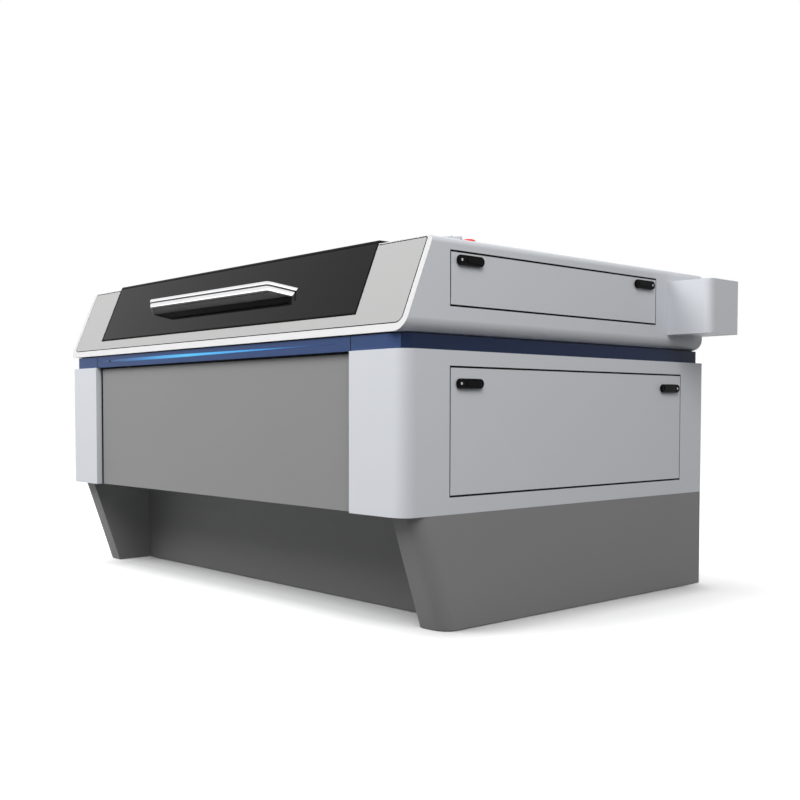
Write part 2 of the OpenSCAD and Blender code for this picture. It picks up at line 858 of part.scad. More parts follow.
module lid_hinges() color("silver") {
  for (x = hinge_x) {
    rod_x([x - 40, hinge_y, hinge_z], hinge_pin_r, 80);
    for (d = [-40, 15])
      difference() {
        union() {
          rod_x([x + d, hinge_y, hinge_z], hinge_r, 25);
          translate([x + d, hinge_y, head_top]) cube([25, 12, 2.5]);
          translate([x + d, hinge_y - 1, head_top]) cube([25, 3, 3]);
        }
        rod_x([x + d - 1, hinge_y, hinge_z], hinge_pin_r - 0.01, 27);
      }
    translate([x - 40, hinge_y + 8, head_top]) cube([80, 32, 2.5]);
  }
  // anchors of the gas springs, on the edges turned down beside the lid
  for (s = [-1, 1]) {
    translate([s > 0 ? deck_x - 5 : -deck_x, anchor_y - 20, anchor_z - 12])
      cube([5, 40, 24]);
    rod_x([s > 0 ? spring_x - 7 : -deck_x, anchor_y, anchor_z], rod_r,
          deck_x - spring_x + 7);
  }
}

// Handle seen along the slope: a bar held off the pane by two slanting legs,
// drawn in by inset.
module handle_plan(inset) {
  lean = atan2(handle_reach, (handle_w - handle_bar) / 2);
  r = 18 - inset;
  cx = handle_bar / 2 - 18 * tan(lean / 2);
  cy = 18 - handle_reach;
  tx = cx + r * sin(lean);
  ty = cy - r * cos(lean);
  end_x = tx + (1 - ty) / tan(lean);
  polygon([[-end_x, 1], [-tx, ty], [-cx, cy - r], [cx, cy - r], [tx, ty], [end_x, 1]]);
  for (s = [-1, 1]) translate([s * cx, cy]) circle(r);
}

// Slice of the handle between two heights along the slope, drawn in by inset.
// The bar's face is cut upright.
module handle_slice(inset, s0, s1) {
  face_y = (handle_s + handle_h) * sin(front_slope) - handle_reach * cos(front_slope);
  difference() {
    on_slope() translate([0, 0, handle_s + s0])
      linear_extrude(s1 - s0) handle_plan(inset);
    translate([-handle_w, face_y + inset - big, 0]) cube([2 * handle_w, big, big]);
  }
}

module lid_handle() color("silver") {
  groove_z = 0.53 * handle_h;
  difference() {
    union() {
      handle_slice(0, 0, groove_z);
      handle_slice(2.5, groove_z, groove_z + 3);
      handle_slice(0, groove_z + 3, handle_h);
    }
    // shallow recess underneath, and the hollow that the pane closes
    handle_slice(8, -1, 2);
    handle_slice(5, 6, handle_h - 4);
    on_slope() translate([-handle_w, 0, 0]) cube([2 * handle_w, 100, big]);
  }
}

// ---------- gas springs ----------

module at_anchor(s)
  translate([s * spring_x, anchor_y, anchor_z]) rotate([spring_a, 0, 0]) children();

module gas_spring_tube(s) {
  at_anchor(s)
    difference() {
      union() {
        rod_x([-6, 0, 0], spring_r, 12);
        rod_y([0, 0, 0], spring_r, spring_tube_l);
      }
      rod_x([-20, 0, 0], rod_r + fit, 40);
      rod_y([0, 20, 0], spring_r - 1.5, spring_tube_l - 28);
      rod_y([0, spring_tube_l - 10, 0], rod_r + fit, 12);
    }
}

module gas_spring_rod(s)
  at_anchor(s) {
    rod_y([0, spring_l - 180, 0], rod_r, 174);
    rod_y([0, spring_l - 182, 0], spring_r - 1.5 - fit, 8);
    rod_x([-6, spring_l, 0], 8, 12);
  }

module gas_spring_tube_left() color("black") gas_spring_tube(-1);
module gas_spring_tube_right() color("black") gas_spring_tube(1);
module gas_spring_rod_left() color("silver") gas_spring_rod(-1);
module gas_spring_rod_right() color("silver") gas_spring_rod(1);

// ---------- latches ----------

// Latch pivots as (y, z, direction of the lever along y).
function latch_spot(z0, w, h, down) = [
  [door_y + latch_in, z0 + h - down, 1],
  [door_y + w - latch_in, z0 + h - down, -1]
];
upper_latches = latch_spot(upper_door_z, upper_door_w, upper_door_h, latch_down_upper);
lower_latches = latch_spot(lower_door_z, lower_door_w, lower_door_h, latch_down_lower);
latch_base_t = 3;
latch_lever_t = 8;

// A lever-shaped plate on the side face, from x0 outwards.
module latch_plate(spot, x0, t, shrink)
  translate([x0, spot[0], spot[1]]) rotate([90, 0, 90])
    linear_extrude(t)
      mirror([spot[2] > 0 ? 0 : 1, 0])
        stadium(latch_l - shrink, latch_w - shrink);

module latch_body(spot)
  difference() {
    union() {
      latch_plate(spot, half_w, latch_base_t, 6);
      rod_x([half_w - 22, spot[0], spot[1]], barrel_r, 23);
      rod_x([half_w - sheet - 5, spot[0], spot[1]], barrel_r + 4, 5);
    }
    rod_x([half_w - 30, spot[0], spot[1]], spindle_r + fit, 40);
  }

module latch_lever(spot) {
  x0 = half_w + latch_base_t + rest_gap;
  latch_plate(spot, x0, latch_lever_t, 0);
  rod_x([half_w - 30, spot[0], spot[1]], spindle_r, x0 - half_w + 31);
  // cam behind the door
  translate([half_w - 27, spot[0] - 8, spot[1] - 8]) cube([4, 16, 26]);
}

module latch_bodies_upper() color("black") for (p = upper_latches) latch_body(p);
module latch_bodies_lower() color("black") for (p = lower_latches) latch_body(p);
module latch_lever_upper_front() color("black") latch_lever(upper_latches[0]);
module latch_lever_upper_rear() color("black") latch_lever(upper_latches[1]);
module latch_lever_lower_front() color("black") latch_lever(lower_latches[0]);
module latch_lever_lower_rear() color("black") latch_lever(lower_latches[1]);

// ---------- operator's console ----------

module console_side(inset)
  polygon([
    [console_y0 + inset, head_top - (inset > 0 ? 1 : 0)],
    [console_y0 + inset, head_top + 12 - inset],
    [console_y1 - inset, head_top + 28 - inset],
    [console_y1 - inset, head_top - (inset > 0 ? 1 : 0)]
  ]);

console_tilt = atan2(16, console_y1 - console_y0);

module console() color("white")
  difference() {
    along_x(console_x0, console_x1) console_side(0);
    along_x(console_x0 + sheet, console_x1 - sheet) console_side(sheet);
    console_window(0.2);
  }

// The display's opening in the tilted top.
module console_window(extra)
  translate([0, console_y0, head_top + 12]) rotate([console_tilt, 0, 0])
    translate([console_x0 + 12 - extra, 22 - extra, -sheet - 2])
      cube([console_x1 - console_x0 - 24 + 2 * extra, 84 + 2 * extra,
            sheet + 2 + (extra > 0 ? 1 : 0.6)]);

module display() color("black") {
  console_window(0);
  // backing plate that holds the display under the console's top
  translate([0, console_y0, head_top + 12]) rotate([console_tilt, 0, 0])
    translate([console_x0 + 6, 16, -sheet - 5.5])
      cube([console_x1 - console_x0 - 12, 96, 3.5]);
}

module estop_base() color("darkgray")
  translate([estop_x, estop_y, 0])
    difference() {
      union() {
        translate([0, 0, head_top]) cylinder(h = 4, r = 20);
        translate([0, 0, head_top - 20]) cylinder(h = 20, r = 11);
        translate([0, 0, head_top - sheet - 5]) cylinder(h = 5, r = 16);
      }
      translate([0, 0, head_top - 30]) cylinder(h = 50, r = 6 + fit);
    }

module estop_button() color("red")
  translate([estop_x, estop_y, 0]) {
    translate([0, 0, head_top - 22]) cylinder(h = 34, r = 6);
    translate([0, 0, head_top + 8.5]) cylinder(h = 3, r1 = 14, r2 = 19);
    translate([0, 0, head_top + 11.5]) cylinder(h = 5.5, r = 20);
    translate([0, 0, head_top + 17]) cylinder(h = 4, r1 = 20, r2 = 14);
  }

module key_switch() color("silver")
  translate([key_x, estop_y, 0]) {
    translate([0, 0, head_top - 18]) cylinder(h = 20, r = 8);
    translate([0, 0, head_top + rest_gap]) cylinder(h = 4, r = 12);
    translate([-10, -1.2, head_top + 4]) cube([20, 2.4, 22]);
  }

// ---------- gantry ----------

module y_module() {
  difference() {
    translate([module_x, module_y0, rail_z])
      cube([module_w, module_y1 - module_y0, module_h]);
    // slot for the belt, closed at both ends
    translate([module_x + 8, module_y0 + 12, rail_z + 8])
      cube([module_w - 16, module_y1 - module_y0 - 60, module_h - 16]);
    rod_x([module_x - 1, shaft_y, shaft_z], shaft_r + fit, module_w + 2);
  }
  translate([module_x + module_w / 2 - guide_w / 2, module_y0, guide_z])
    cube([guide_w, module_y1 - module_y0, guide_h]);
}

module y_modules() color("silver") {
  y_module();
  mirrored_x() y_module();
}

module y_drive_shaft() color("silver") {
  rod_x([-module_x - module_w, shaft_y, shaft_z], shaft_r,
        2 * (module_x + module_w));
  // couplings beside the modules
  for (x = [-module_x + 4, module_x - 38])
    rod_x([x, shaft_y, shaft_z], 13, 34);
}

module y_motor() color("dimgray") {
  x0 = module_x + module_w + rest_gap;
  difference() {
    union() {
      translate([x0, shaft_y - 28, rail_z]) cube([56, 56, 56]);
      translate([-screw_x + 60, screw_y[1] - 28, shelf_z + tube_s])
        cube([56, 56, 44]);
    }
    rod_x([x0 - 1, shaft_y, shaft_z], shaft_r + 1, 6);
  }
}

module gantry_beam() color("silver") {
  block_x = module_x + module_w / 2;
  difference() {
    union() {
      translate([-block_x - 20, beam_y, beam_z])
        cube([2 * block_x + 40, beam_d, beam_h]);
      for (s = [-1, 1]) {
        // plate over the bearing block
        translate([s > 0 ? module_x - 20 : -module_x - 80, beam_y - 25, plate_z])
          cube([100, 80, 9]);
        translate([s * block_x - 17, beam_y - 20, guide_z + 4])
          cube([34, 70, plate_z - guide_z - 4]);
      }
    }
    // channels along the extrusion
    for (z = [beam_z + 10, beam_z + beam_h - 18])
      translate([-block_x - 21, beam_y + beam_d - 6, z]) cube([2 * block_x + 42, 7, 8]);
    translate([-block_x - 21, beam_y + 8, beam_z + 8])
      cube([2 * block_x + 42, beam_d - 20, beam_h - 16]);
    // grooves that run on the guides
    for (s = [-1, 1])
      translate([s * block_x - guide_w / 2 - rest_gap, beam_y - 30, guide_z])
        cube([guide_w + 2 * rest_gap, 90, guide_h + rest_gap]);
  }
  // guide on the beam's front
  translate([-block_x, beam_y - 10, beam_z + 20]) cube([2 * block_x, 10, 15]);
  // bracket that carries the second mirror
  translate([-module_x - 80, nozzle_y - 20, plate_z]) cube([20, beam_y - nozzle_y, 9]);
  translate([-module_x - 80, nozzle_y - 20, plate_z]) cube([20, 8, 56]);
  // motor on the right end
  translate([block_x + 22, beam_y - 4, beam_z]) cube([50, 56, 56]);
}

head_x = -travel_x / 2;

module laser_carriage() color("dimgray")
  difference() {
    union() {
      translate([head_x - 45, beam_y - 24, beam_z + 8]) cube([90, 22, 42]);
      translate([head_x - 45, beam_y - 32, beam_z + 2]) cube([90, 8, 54]);
    }
    translate([head_x - 50, beam_y - 10 - rest_gap, beam_z + 20 - rest_gap])
      cube([100, 20, 15 + 2 * rest_gap]);
    translate([head_x - 50, beam_y - rest_gap, beam_z]) cube([100, 20, 60]);
  }

module laser_head() color("silver")
  translate([head_x, nozzle_y, 0]) {
    difference() {
      translate([-20, -17, beam_z + 10]) cube([40, 45, 38]);
      // openings for the beam in and for the lens
      rod_x([-21, 0, optic_z], 6, 22);
      translate([0, 0, beam_z]) cylinder(h = 40, r = 9);
    }
    difference() {
      union() {
        translate([0, 0, bed_top + 22]) cylinder(h = beam_z + 10 - bed_top - 22, r = 14);
        translate([0, 0, bed_top + 8]) cylinder(h = 14, r1 = 5, r2 = 14);
      }
      translate([0, 0, bed_top]) cylinder(h = 140, r = 2);
      translate([0, 0, bed_top + 24]) cylinder(h = 140, r = 9);
    }
  }

// ---------- bed ----------

module bed_frame() color("gray") {
  z0 = bed_top - slat_h - bed_tube;
  span = bed_y1 - bed_y0;
  wall = 2;
  difference() {
    union() {
      for (s = [-1, 1])
        translate([s > 0 ? bed_x - bed_tube : -bed_x, bed_y0, z0])
          tube_along(1, span, bed_tube, wall);
      for (y = [bed_y0, (bed_y0 + bed_y1) / 2 - bed_tube / 2, bed_y1 - bed_tube])
        translate([-bed_x + bed_tube, y, z0])
          tube_along(0, 2 * (bed_x - bed_tube), bed_tube, wall);
      // nut brackets
      for (s = [-1, 1], y = screw_y)
        translate([s > 0 ? bed_x - 1 : -bed_x - 42, y - 20, nut_z])
          cube([43, 40, nut_h]);
    }
    for (s = [-1, 1], y = screw_y)
      translate([s * screw_x, y, nut_z - 1]) cylinder(h = nut_h + 2, r = screw_r + fit);
  }
}

module bed_slats() color("silver") {
  n = floor((bed_x - 45) / slat_pitch);
  for (i = [-n:n])
    translate([i * slat_pitch - slat_t / 2, bed_y0, bed_top - slat_h])
      cube([slat_t, bed_y1 - bed_y0, slat_h]);
}

module bed_screw(s, y) {
  z0 = shelf_z + tube_s;
  translate([s * screw_x, y, 0]) {
    translate([0, 0, z0 + rest_gap]) cylinder(h = nut_z + nut_h + 8 - z0, r = screw_r);
    translate([0, 0, z0 + 16 + rest_gap]) cylinder(h = 15, r = 18);
  }
}

module bed_screw_1() color("silver") bed_screw(-1, screw_y[0]);
module bed_screw_2() color("silver") bed_screw(1, screw_y[0]);
module bed_screw_3() color("silver") bed_screw(-1, screw_y[1]);
module bed_screw_4() color("silver") bed_screw(1, screw_y[1]);

// ---------- laser tube and electrics ----------

module laser_tube() color("lightcyan") {
  x0 = half_w + end_box_x - 30 - tube_l;
  rod_x([x0 + 60, tube_y, tube_z], tube_d / 2, tube_l - 120);
  rod_x([x0, tube_y, tube_z], 12, tube_l);
}

module tube_clamps() color("dimgray")
  for (x = [-0.3 * body_w, 0.3 * body_w])
    translate([x - 20, tube_y - tube_d / 2 - 12, rail_z + sheet])
      difference() {
        cube([40, tube_d + 24, tube_z + tube_d / 2 + 8 - rail_z - sheet]);
        translate([-1, tube_d / 2 + 12, tube_z - rail_z - sheet]) rotate([0, 90, 0])
          cylinder(h = 42, d = tube_d);
      }

// Catches what falls through the slats; it rests on the frame's cross tubes.
module scrap_tray() color("silver") {
  w = post_x - 150;
  y0 = cross_front - 30;
  z0 = cabinet_z + floor_t + tube_s;
  difference() {
    translate([-w, y0, z0]) cube([2 * w, cross_rear + tube_s - y0, 60]);
    translate([-w + sheet, y0 + sheet, z0 + sheet])
      cube([2 * (w - sheet), cross_rear + tube_s - y0 - 2 * sheet, 60]);
  }
}

module electronics() color("darkgray") {
  plate_x = post_x + tube_s;
  z0 = cabinet_z + floor_t + tube_s + 20;
  translate([plate_x, cross_front, z0])
    cube([sheet, cross_rear + tube_s - cross_front, 300]);
  // laser supply, motor drivers and controller
  translate([plate_x + sheet, cross_front + 60, z0 + 20]) cube([50, 300, 200]);
  for (i = [0:2])
    translate([plate_x + sheet, cross_front + 420 + 60 * i, z0 + 40]) cube([34, 40, 120]);
  translate([plate_x + sheet, cross_front + 640, z0 + 30]) cube([40, 160, 190]);
}

// ---------- drawing ----------

placed() plinth_cheeks();
placed() plinth_kick_panel();
placed() base_frame();
placed() levelling_feet();
placed() main_frame();
placed() cabinet_floor();
placed() cabinet_side_left();
placed() cabinet_side_right();
placed() rear_panel();
placed() front_door();
placed() side_door_lower();
placed() side_door_upper();
placed() door_pivots();
placed() belt_ends();
placed() belt_centre();
placed() light_strip();
placed() head_side_left();
placed() head_side_right();
placed() head_front_frame();
placed() front_fascia();
placed() head_rear_cover();
placed() chamber_rear_wall();
placed() tube_end_box();
placed() lid_frame();
placed() lid_front_pane();
placed() lid_top_pane();
placed() lid_handle();
placed() lid_hinges();
placed() gas_spring_tube_left();
placed() gas_spring_tube_right();
placed() gas_spring_rod_left();
placed() gas_spring_rod_right();
placed() latch_bodies_upper();
placed() latch_bodies_lower();
placed() latch_lever_upper_front();
placed() latch_lever_upper_rear();
placed() latch_lever_lower_front();
placed() latch_lever_lower_rear();
placed() console();
placed() display();
placed() estop_base();
placed() estop_button();
placed() key_switch();
placed() y_modules();
placed() y_drive_shaft();
placed() y_motor();
placed() gantry_beam();
placed() laser_carriage();
placed() laser_head();
placed() bed_frame();
placed() bed_slats();
placed() bed_screw_1();
placed() bed_screw_2();
placed() bed_screw_3();
placed() bed_screw_4();
placed() laser_tube();
placed() tube_clamps();
placed() scrap_tray();
placed() electronics();
placed() exhaust_collar();
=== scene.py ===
import json
import math

import bpy
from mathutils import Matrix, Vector

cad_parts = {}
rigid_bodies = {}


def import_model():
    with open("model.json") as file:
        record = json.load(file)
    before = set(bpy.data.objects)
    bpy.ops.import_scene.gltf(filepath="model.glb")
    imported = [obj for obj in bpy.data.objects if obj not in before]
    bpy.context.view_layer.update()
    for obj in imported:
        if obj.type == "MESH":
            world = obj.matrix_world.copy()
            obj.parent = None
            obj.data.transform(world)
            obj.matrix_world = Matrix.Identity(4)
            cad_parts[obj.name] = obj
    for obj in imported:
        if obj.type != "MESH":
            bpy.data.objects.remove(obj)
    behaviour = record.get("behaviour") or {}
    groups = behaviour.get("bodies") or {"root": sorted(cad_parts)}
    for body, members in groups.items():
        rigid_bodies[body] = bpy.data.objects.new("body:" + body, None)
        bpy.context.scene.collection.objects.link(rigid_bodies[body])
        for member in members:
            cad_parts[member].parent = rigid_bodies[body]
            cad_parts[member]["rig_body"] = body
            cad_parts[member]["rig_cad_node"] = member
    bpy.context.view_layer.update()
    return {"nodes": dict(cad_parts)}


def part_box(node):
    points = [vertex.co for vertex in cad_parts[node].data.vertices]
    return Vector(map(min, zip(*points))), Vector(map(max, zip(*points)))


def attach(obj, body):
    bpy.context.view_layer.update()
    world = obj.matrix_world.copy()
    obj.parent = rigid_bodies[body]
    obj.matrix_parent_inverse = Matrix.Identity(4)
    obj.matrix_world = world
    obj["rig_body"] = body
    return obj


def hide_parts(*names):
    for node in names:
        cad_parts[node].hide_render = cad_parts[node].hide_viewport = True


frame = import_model()

# ---------------------------------------------------------------- plinth
# Two folded steel cheeks with a raked front edge and a rounded outer corner,
# and a kick panel set back between them. Cut, bent on a brake and powder
# coated dark grey.


def alone(piece):
    """Only this piece is selected and active."""
    if bpy.context.object and bpy.context.object.mode != "OBJECT":
        bpy.ops.object.mode_set(mode="OBJECT")
    bpy.ops.object.select_all(action="DESELECT")
    piece.select_set(True)
    bpy.context.view_layer.objects.active = piece


def smooth(piece, angle=40):
    """Round faces shade smoothly while flat faces stay flat."""
    alone(piece)
    bpy.ops.object.shade_smooth_by_angle(angle=math.radians(angle))
    flat = piece.modifiers.new("flat", "WEIGHTED_NORMAL")
    flat.keep_sharp = True
    flat.weight = 80
    bpy.ops.object.modifier_apply(modifier=flat.name)


def eased(piece, radius, segments=3, angle=28):
    """Breaks the sharp edges with a small radius, as paint and tooling do."""
    alone(piece)
    edge = piece.modifiers.new("edge", "BEVEL")
    edge.width = radius
    edge.segments = segments
    edge.limit_method = "ANGLE"
    edge.angle_limit = math.radians(angle)
    edge.loop_slide = False
    bpy.ops.object.modifier_apply(modifier=edge.name)
    smooth(piece)


def finish(piece, material):
    piece.data.materials.clear()
    piece.data.materials.append(material)


def body_of(node):
    return frame["nodes"][node]["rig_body"]


def made_from(node, radius, material, segments=3):
    """A fair copy of a sheet or machined piece, with eased edges and its finish."""
    alone(frame["nodes"][node])
    bpy.ops.object.duplicate()
    piece = bpy.context.object
    piece.name = node + "_made"
    del piece["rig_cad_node"]
    bpy.ops.object.mode_set(mode="EDIT")
    bpy.ops.mesh.select_all(action="SELECT")
    bpy.ops.mesh.remove_doubles(threshold=0.00001)
    bpy.ops.mesh.dissolve_limited(angle_limit=math.radians(0.3))
    bpy.ops.object.mode_set(mode="OBJECT")
    eased(piece, radius, segments)
    finish(piece, material)
    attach(piece, body_of(node))
    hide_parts(node)
    return piece


def new_material(name):
    material = bpy.data.materials.new(name)
    material.use_nodes = True
    tree = material.node_tree
    return material, tree, tree.nodes["Principled BSDF"]


def noise_at(tree, scale, detail=3.0, stretch=(1, 1, 1)):
    """A noise pattern fixed to the piece's own coordinates."""
    place = tree.nodes.new("ShaderNodeTexCoord")
    spread = tree.nodes.new("ShaderNodeMapping")
    spread.inputs["Scale"].default_value = stretch
    noise = tree.nodes.new("ShaderNodeTexNoise")
    noise.inputs["Scale"].default_value = scale
    noise.inputs["Detail"].default_value = detail
    tree.links.new(place.outputs["Object"], spread.inputs["Vector"])
    tree.links.new(spread.outputs["Vector"], noise.inputs["Vector"])
    return noise.outputs["Fac"]


def ranged(tree, value, low, high):
    spread = tree.nodes.new("ShaderNodeMapRange")
    spread.inputs["From Min"].default_value = 0.3
    spread.inputs["From Max"].default_value = 0.7
    spread.inputs["To Min"].default_value = low
    spread.inputs["To Max"].default_value = high
    tree.links.new(value, spread.inputs["Value"])
    return spread.outputs["Result"]


def between(tree, value, dark, light):
    mix = tree.nodes.new("ShaderNodeMix")
    mix.data_type = "RGBA"
    mix.inputs[6].default_value = (*dark, 1)
    mix.inputs[7].default_value = (*light, 1)
    tree.links.new(value, mix.inputs["Factor"])
    return mix.outputs[2]


def bumped(tree, shader, value, strength, distance):
    bump = tree.nodes.new("ShaderNodeBump")
    bump.inputs["Strength"].default_value = strength
    bump.inputs["Distance"].default_value = distance
    tree.links.new(value, bump.inputs["Height"])
    tree.links.new(bump.outputs["Normal"], shader.inputs["Normal"])


def powder_coat(name, colour, rough, drift=0.025, peel=0.12):
    """Baked paint: a faint orange peel, and a colour that drifts very slightly."""
    material, tree, shader = new_material(name)
    cloud = noise_at(tree, 3.0, 4.0)
    dark = [c * (1 - drift) for c in colour]
    light = [min(1.0, c * (1 + drift)) for c in colour]
    tree.links.new(between(tree, cloud, dark, light), shader.inputs["Base Color"])
    orange_peel = noise_at(tree, 420.0, 2.0)
    tree.links.new(ranged(tree, orange_peel, rough - 0.04, rough + 0.05), shader.inputs["Roughness"])
    shader.inputs["Specular IOR Level"].default_value = 0.3
    bumped(tree, shader, orange_peel, peel, 0.0006)
    return material


plinth_grey = powder_coat("plinth_grey", (0.245, 0.245, 0.245), 0.55)
made_from("plinth_cheeks", 0.0007, plinth_grey)
# the kick panel is a darker grey than the cheeks: painted shade of the recess under the cabinet
made_from("plinth_kick_panel", 0.0006, powder_coat("kick_shade_grey", (0.175, 0.175, 0.175), 0.55))

# ------------------------------------------------- base frame and feet
# A ladder of welded square tube that the cabinet stands on, painted matt
# black, with six screw-in levelling feet of zinc-plated steel.
frame_black = powder_coat("frame_black", (0.035, 0.037, 0.04), 0.62, 0.15, 0.25)
made_from("base_frame", 0.003, frame_black)


def turned(name, profile, sides=48):
    """Turns (radius, height) steps into a closed solid on the Z axis."""
    radius, height = profile[0]
    bpy.ops.object.select_all(action="DESELECT")
    bpy.ops.mesh.primitive_circle_add(
        vertices=sides, radius=radius, fill_type="NGON", location=(0, 0, 0)
    )
    piece = bpy.context.object
    piece.name = name
    bpy.ops.object.mode_set(mode="EDIT")
    bpy.ops.mesh.select_all(action="SELECT")
    bpy.ops.transform.translate(value=(0, 0, height))
    for wide, high in profile[1:]:
        bpy.ops.mesh.extrude_region_move(
            TRANSFORM_OT_translate={"value": (0, 0, high - height)}
        )
        if wide != radius:
            grow = wide / radius
            bpy.ops.transform.resize(value=(grow, grow, 1), center_override=(0, 0, high))
        radius, height = wide, high
    bpy.ops.mesh.select_all(action="SELECT")
    bpy.ops.mesh.normals_make_consistent(inside=False)
    bpy.ops.object.mode_set(mode="OBJECT")
    smooth(piece)
    return piece


def put(piece, place, turn=(0, 0, 0)):
    """Moves a piece into place, and leaves its object at the origin."""
    alone(piece)
    piece.rotation_euler = [math.radians(a) for a in turn]
    piece.location = place
    bpy.ops.object.transform_apply(location=True, rotation=True, scale=True)
    return piece


def another(piece, place, turn=(0, 0, 0)):
    """A copy with its own mesh, moved into place."""
    alone(piece)
    bpy.ops.object.duplicate()
    return put(bpy.context.object, place, turn)


def joined(pieces, name):
    alone(pieces[0])
    for piece in pieces[1:]:
        piece.select_set(True)
    if len(pieces) > 1:
        bpy.ops.object.join()
    bpy.context.object.name = name
    return bpy.context.object


def gone(piece):
    bpy.data.objects.remove(piece)


def metal(name, colour, rough, scale=120.0, stretch=(1, 1, 1), bump=0.15):
    """Bare or plated metal, with tool marks drawn out along one direction."""
    material, tree, shader = new_material(name)
    shader.inputs["Metallic"].default_value = 1.0
    marks = noise_at(tree, scale, 4.0, stretch)
    dark = [c * 0.88 for c in colour]
    tree.links.new(between(tree, marks, dark, colour), shader.inputs["Base Color"])
    tree.links.new(ranged(tree, marks, rough * 0.75, rough * 1.25), shader.inputs["Roughness"])
    bumped(tree, shader, marks, bump, 0.0003)
    return material


zinc = metal("zinc_plate", (0.62, 0.63, 0.65), 0.34, 60.0)
foot = turned(
    "foot",
    [(0.028, 0.0), (0.030, 0.0015), (0.030, 0.006), (0.012, 0.014), (0.012, 0.016),
     (0.008, 0.016)]
    + [(0.008 if i % 2 else 0.0072, 0.018 + 0.0015 * i) for i in range(29)]
    + [(0.0068, 0.0632)],
    32,
)
lock_nut = turned("lock_nut", [(0.0125, 0.0), (0.014, 0.0012), (0.014, 0.0118), (0.0125, 0.013)], 6)
nut_height = 0.027
put(lock_nut, (0, 0, nut_height))
foot_low, foot_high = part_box("levelling_feet")
pad = 0.030  # radius of a foot's pad
kick_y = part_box("plinth_kick_panel")[0].y
back_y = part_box("rear_panel")[1].y
feet = [
    (x, y)
    for x in (foot_low.x + pad, foot_high.x - pad)
    for y in (foot_low.y + pad, (kick_y + back_y) / 2 + 0.010, foot_high.y - pad)
]
set_of_feet = joined(
    [another(p, (x, y, 0)) for x, y in feet for p in (foot, lock_nut)], "levelling_feet_made"
)
gone(foot)
gone(lock_nut)
finish(set_of_feet, zinc)
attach(set_of_feet, "machine")
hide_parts("levelling_feet")

# -------------------------------------------------------- main frame
# Welded square tube inside the cabinet: uprights, rails and the cross tubes
# that carry the bed screws. Ground at the joints and painted matt black.
made_from("main_frame", 0.003, frame_black)

# -------------------------------------------------- cabinet panels
# White sheet panels. Each side is one sheet, bent round the corner into the
# front pillar and folded in at the top and foot. The floor is galvanised.
cabinet_white = powder_coat("cabinet_white", (0.68, 0.70, 0.737), 0.42, 0.012)
made_from("cabinet_side_left", 0.0006, cabinet_white)
made_from("rear_panel", 0.0006, cabinet_white)
cabinet_right = made_from("cabinet_side_right", 0.0006, cabinet_white)


def galvanised(name):
    """Zinc-dipped sheet: large dull crystals of slightly different grey."""
    material, tree, shader = new_material(name)
    shader.inputs["Metallic"].default_value = 0.9
    place = tree.nodes.new("ShaderNodeTexCoord")
    crystals = tree.nodes.new("ShaderNodeTexVoronoi")
    crystals.inputs["Scale"].default_value = 70.0
    tree.links.new(place.outputs["Object"], crystals.inputs["Vector"])
    flakes = tree.nodes.new("ShaderNodeSeparateColor")
    tree.links.new(crystals.outputs["Color"], flakes.inputs["Color"])
    shade = flakes.outputs["Red"]
    tree.links.new(between(tree, shade, (0.46, 0.48, 0.49), (0.60, 0.62, 0.63)), shader.inputs["Base Color"])
    tree.links.new(ranged(tree, shade, 0.38, 0.52), shader.inputs["Roughness"])
    return material


zinc_sheet = galvanised("zinc_sheet")
made_from("cabinet_floor", 0.0006, zinc_sheet)

# ----------------------------------------------------- cabinet doors
# The front door is a shallow folded tray in mid grey; the side doors are
# white trays in flush openings. All drop open on pins at their lower edge.
door_grey = powder_coat("door_grey", (0.256, 0.256, 0.256), 0.5, 0.02)


def dull(material, level):
    """Takes the shine off a finish."""
    material.node_tree.nodes["Principled BSDF"].inputs["Specular IOR Level"].default_value = level
    return material


# near-black dull finish, used as painted shade in joints, gaps, slots and holes
gap_shade_black = dull(powder_coat("gap_shade_black", (0.006, 0.006, 0.006), 0.8, 0.2, 0.4), 0.1)


def shade_black_edges(piece, test):
    """Painted shade: black on the faces that pass the test, where the joints lie in shade."""
    piece.data.materials.append(gap_shade_black)
    for face in piece.data.polygons:
        if test(face.center, face.normal):
            face.material_index = 1


def inside(point, corners, margin):
    low, high = corners
    return all(a - margin < c < b + margin for c, a, b in zip(point, low, high))


def box(name, low, high, radius, segments=3):
    """A block between two corners, its edges rounded with the bevel tool."""
    bpy.ops.object.select_all(action="DESELECT")
    bpy.ops.mesh.primitive_cube_add(size=1, location=(0, 0, 0))
    piece = bpy.context.object
    piece.name = name
    bpy.ops.object.mode_set(mode="EDIT")
    bpy.ops.mesh.select_all(action="SELECT")
    size = [b - a for a, b in zip(low, high)]
    bpy.ops.transform.resize(value=size, center_override=(0, 0, 0))
    bpy.ops.transform.translate(value=[(a + b) / 2 for a, b in zip(low, high)])
    if radius:
        bpy.ops.mesh.bevel(offset=radius, segments=segments, affect="EDGES")
    bpy.ops.object.mode_set(mode="OBJECT")
    smooth(piece)
    return piece


front_low, front_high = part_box("front_door")
# painted shade: the front door's two end faces are black, for the shade in the joints at its ends
shade_black_edges(
    made_from("front_door", 0.0008, door_grey),
    lambda c, n: abs(n.x) > 0.7 and not front_low.x + 0.001 < c.x < front_high.x - 0.001,
)
# black lips along the front door's two ends and top: painted shade that widens the dark joints by the
# pillars and under the belt
lip_y = front_low.y - 0.0012
lip_back = lip_y + 0.003
lip_wide = 0.009
shade_lips = joined(
    [
        box("lip", (front_low.x, lip_y, front_low.z), (front_low.x + lip_wide, lip_back, front_high.z), 0),
        box("lip", (front_high.x - lip_wide, lip_y, front_low.z), (front_high.x, lip_back, front_high.z), 0),
        box("lip", (front_low.x, lip_y, front_high.z - 0.004), (front_high.x, lip_back, front_high.z), 0),
    ],
    "front_door_shade_lips",
)
finish(shade_lips, gap_shade_black)
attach(shade_lips, "front_door_body")
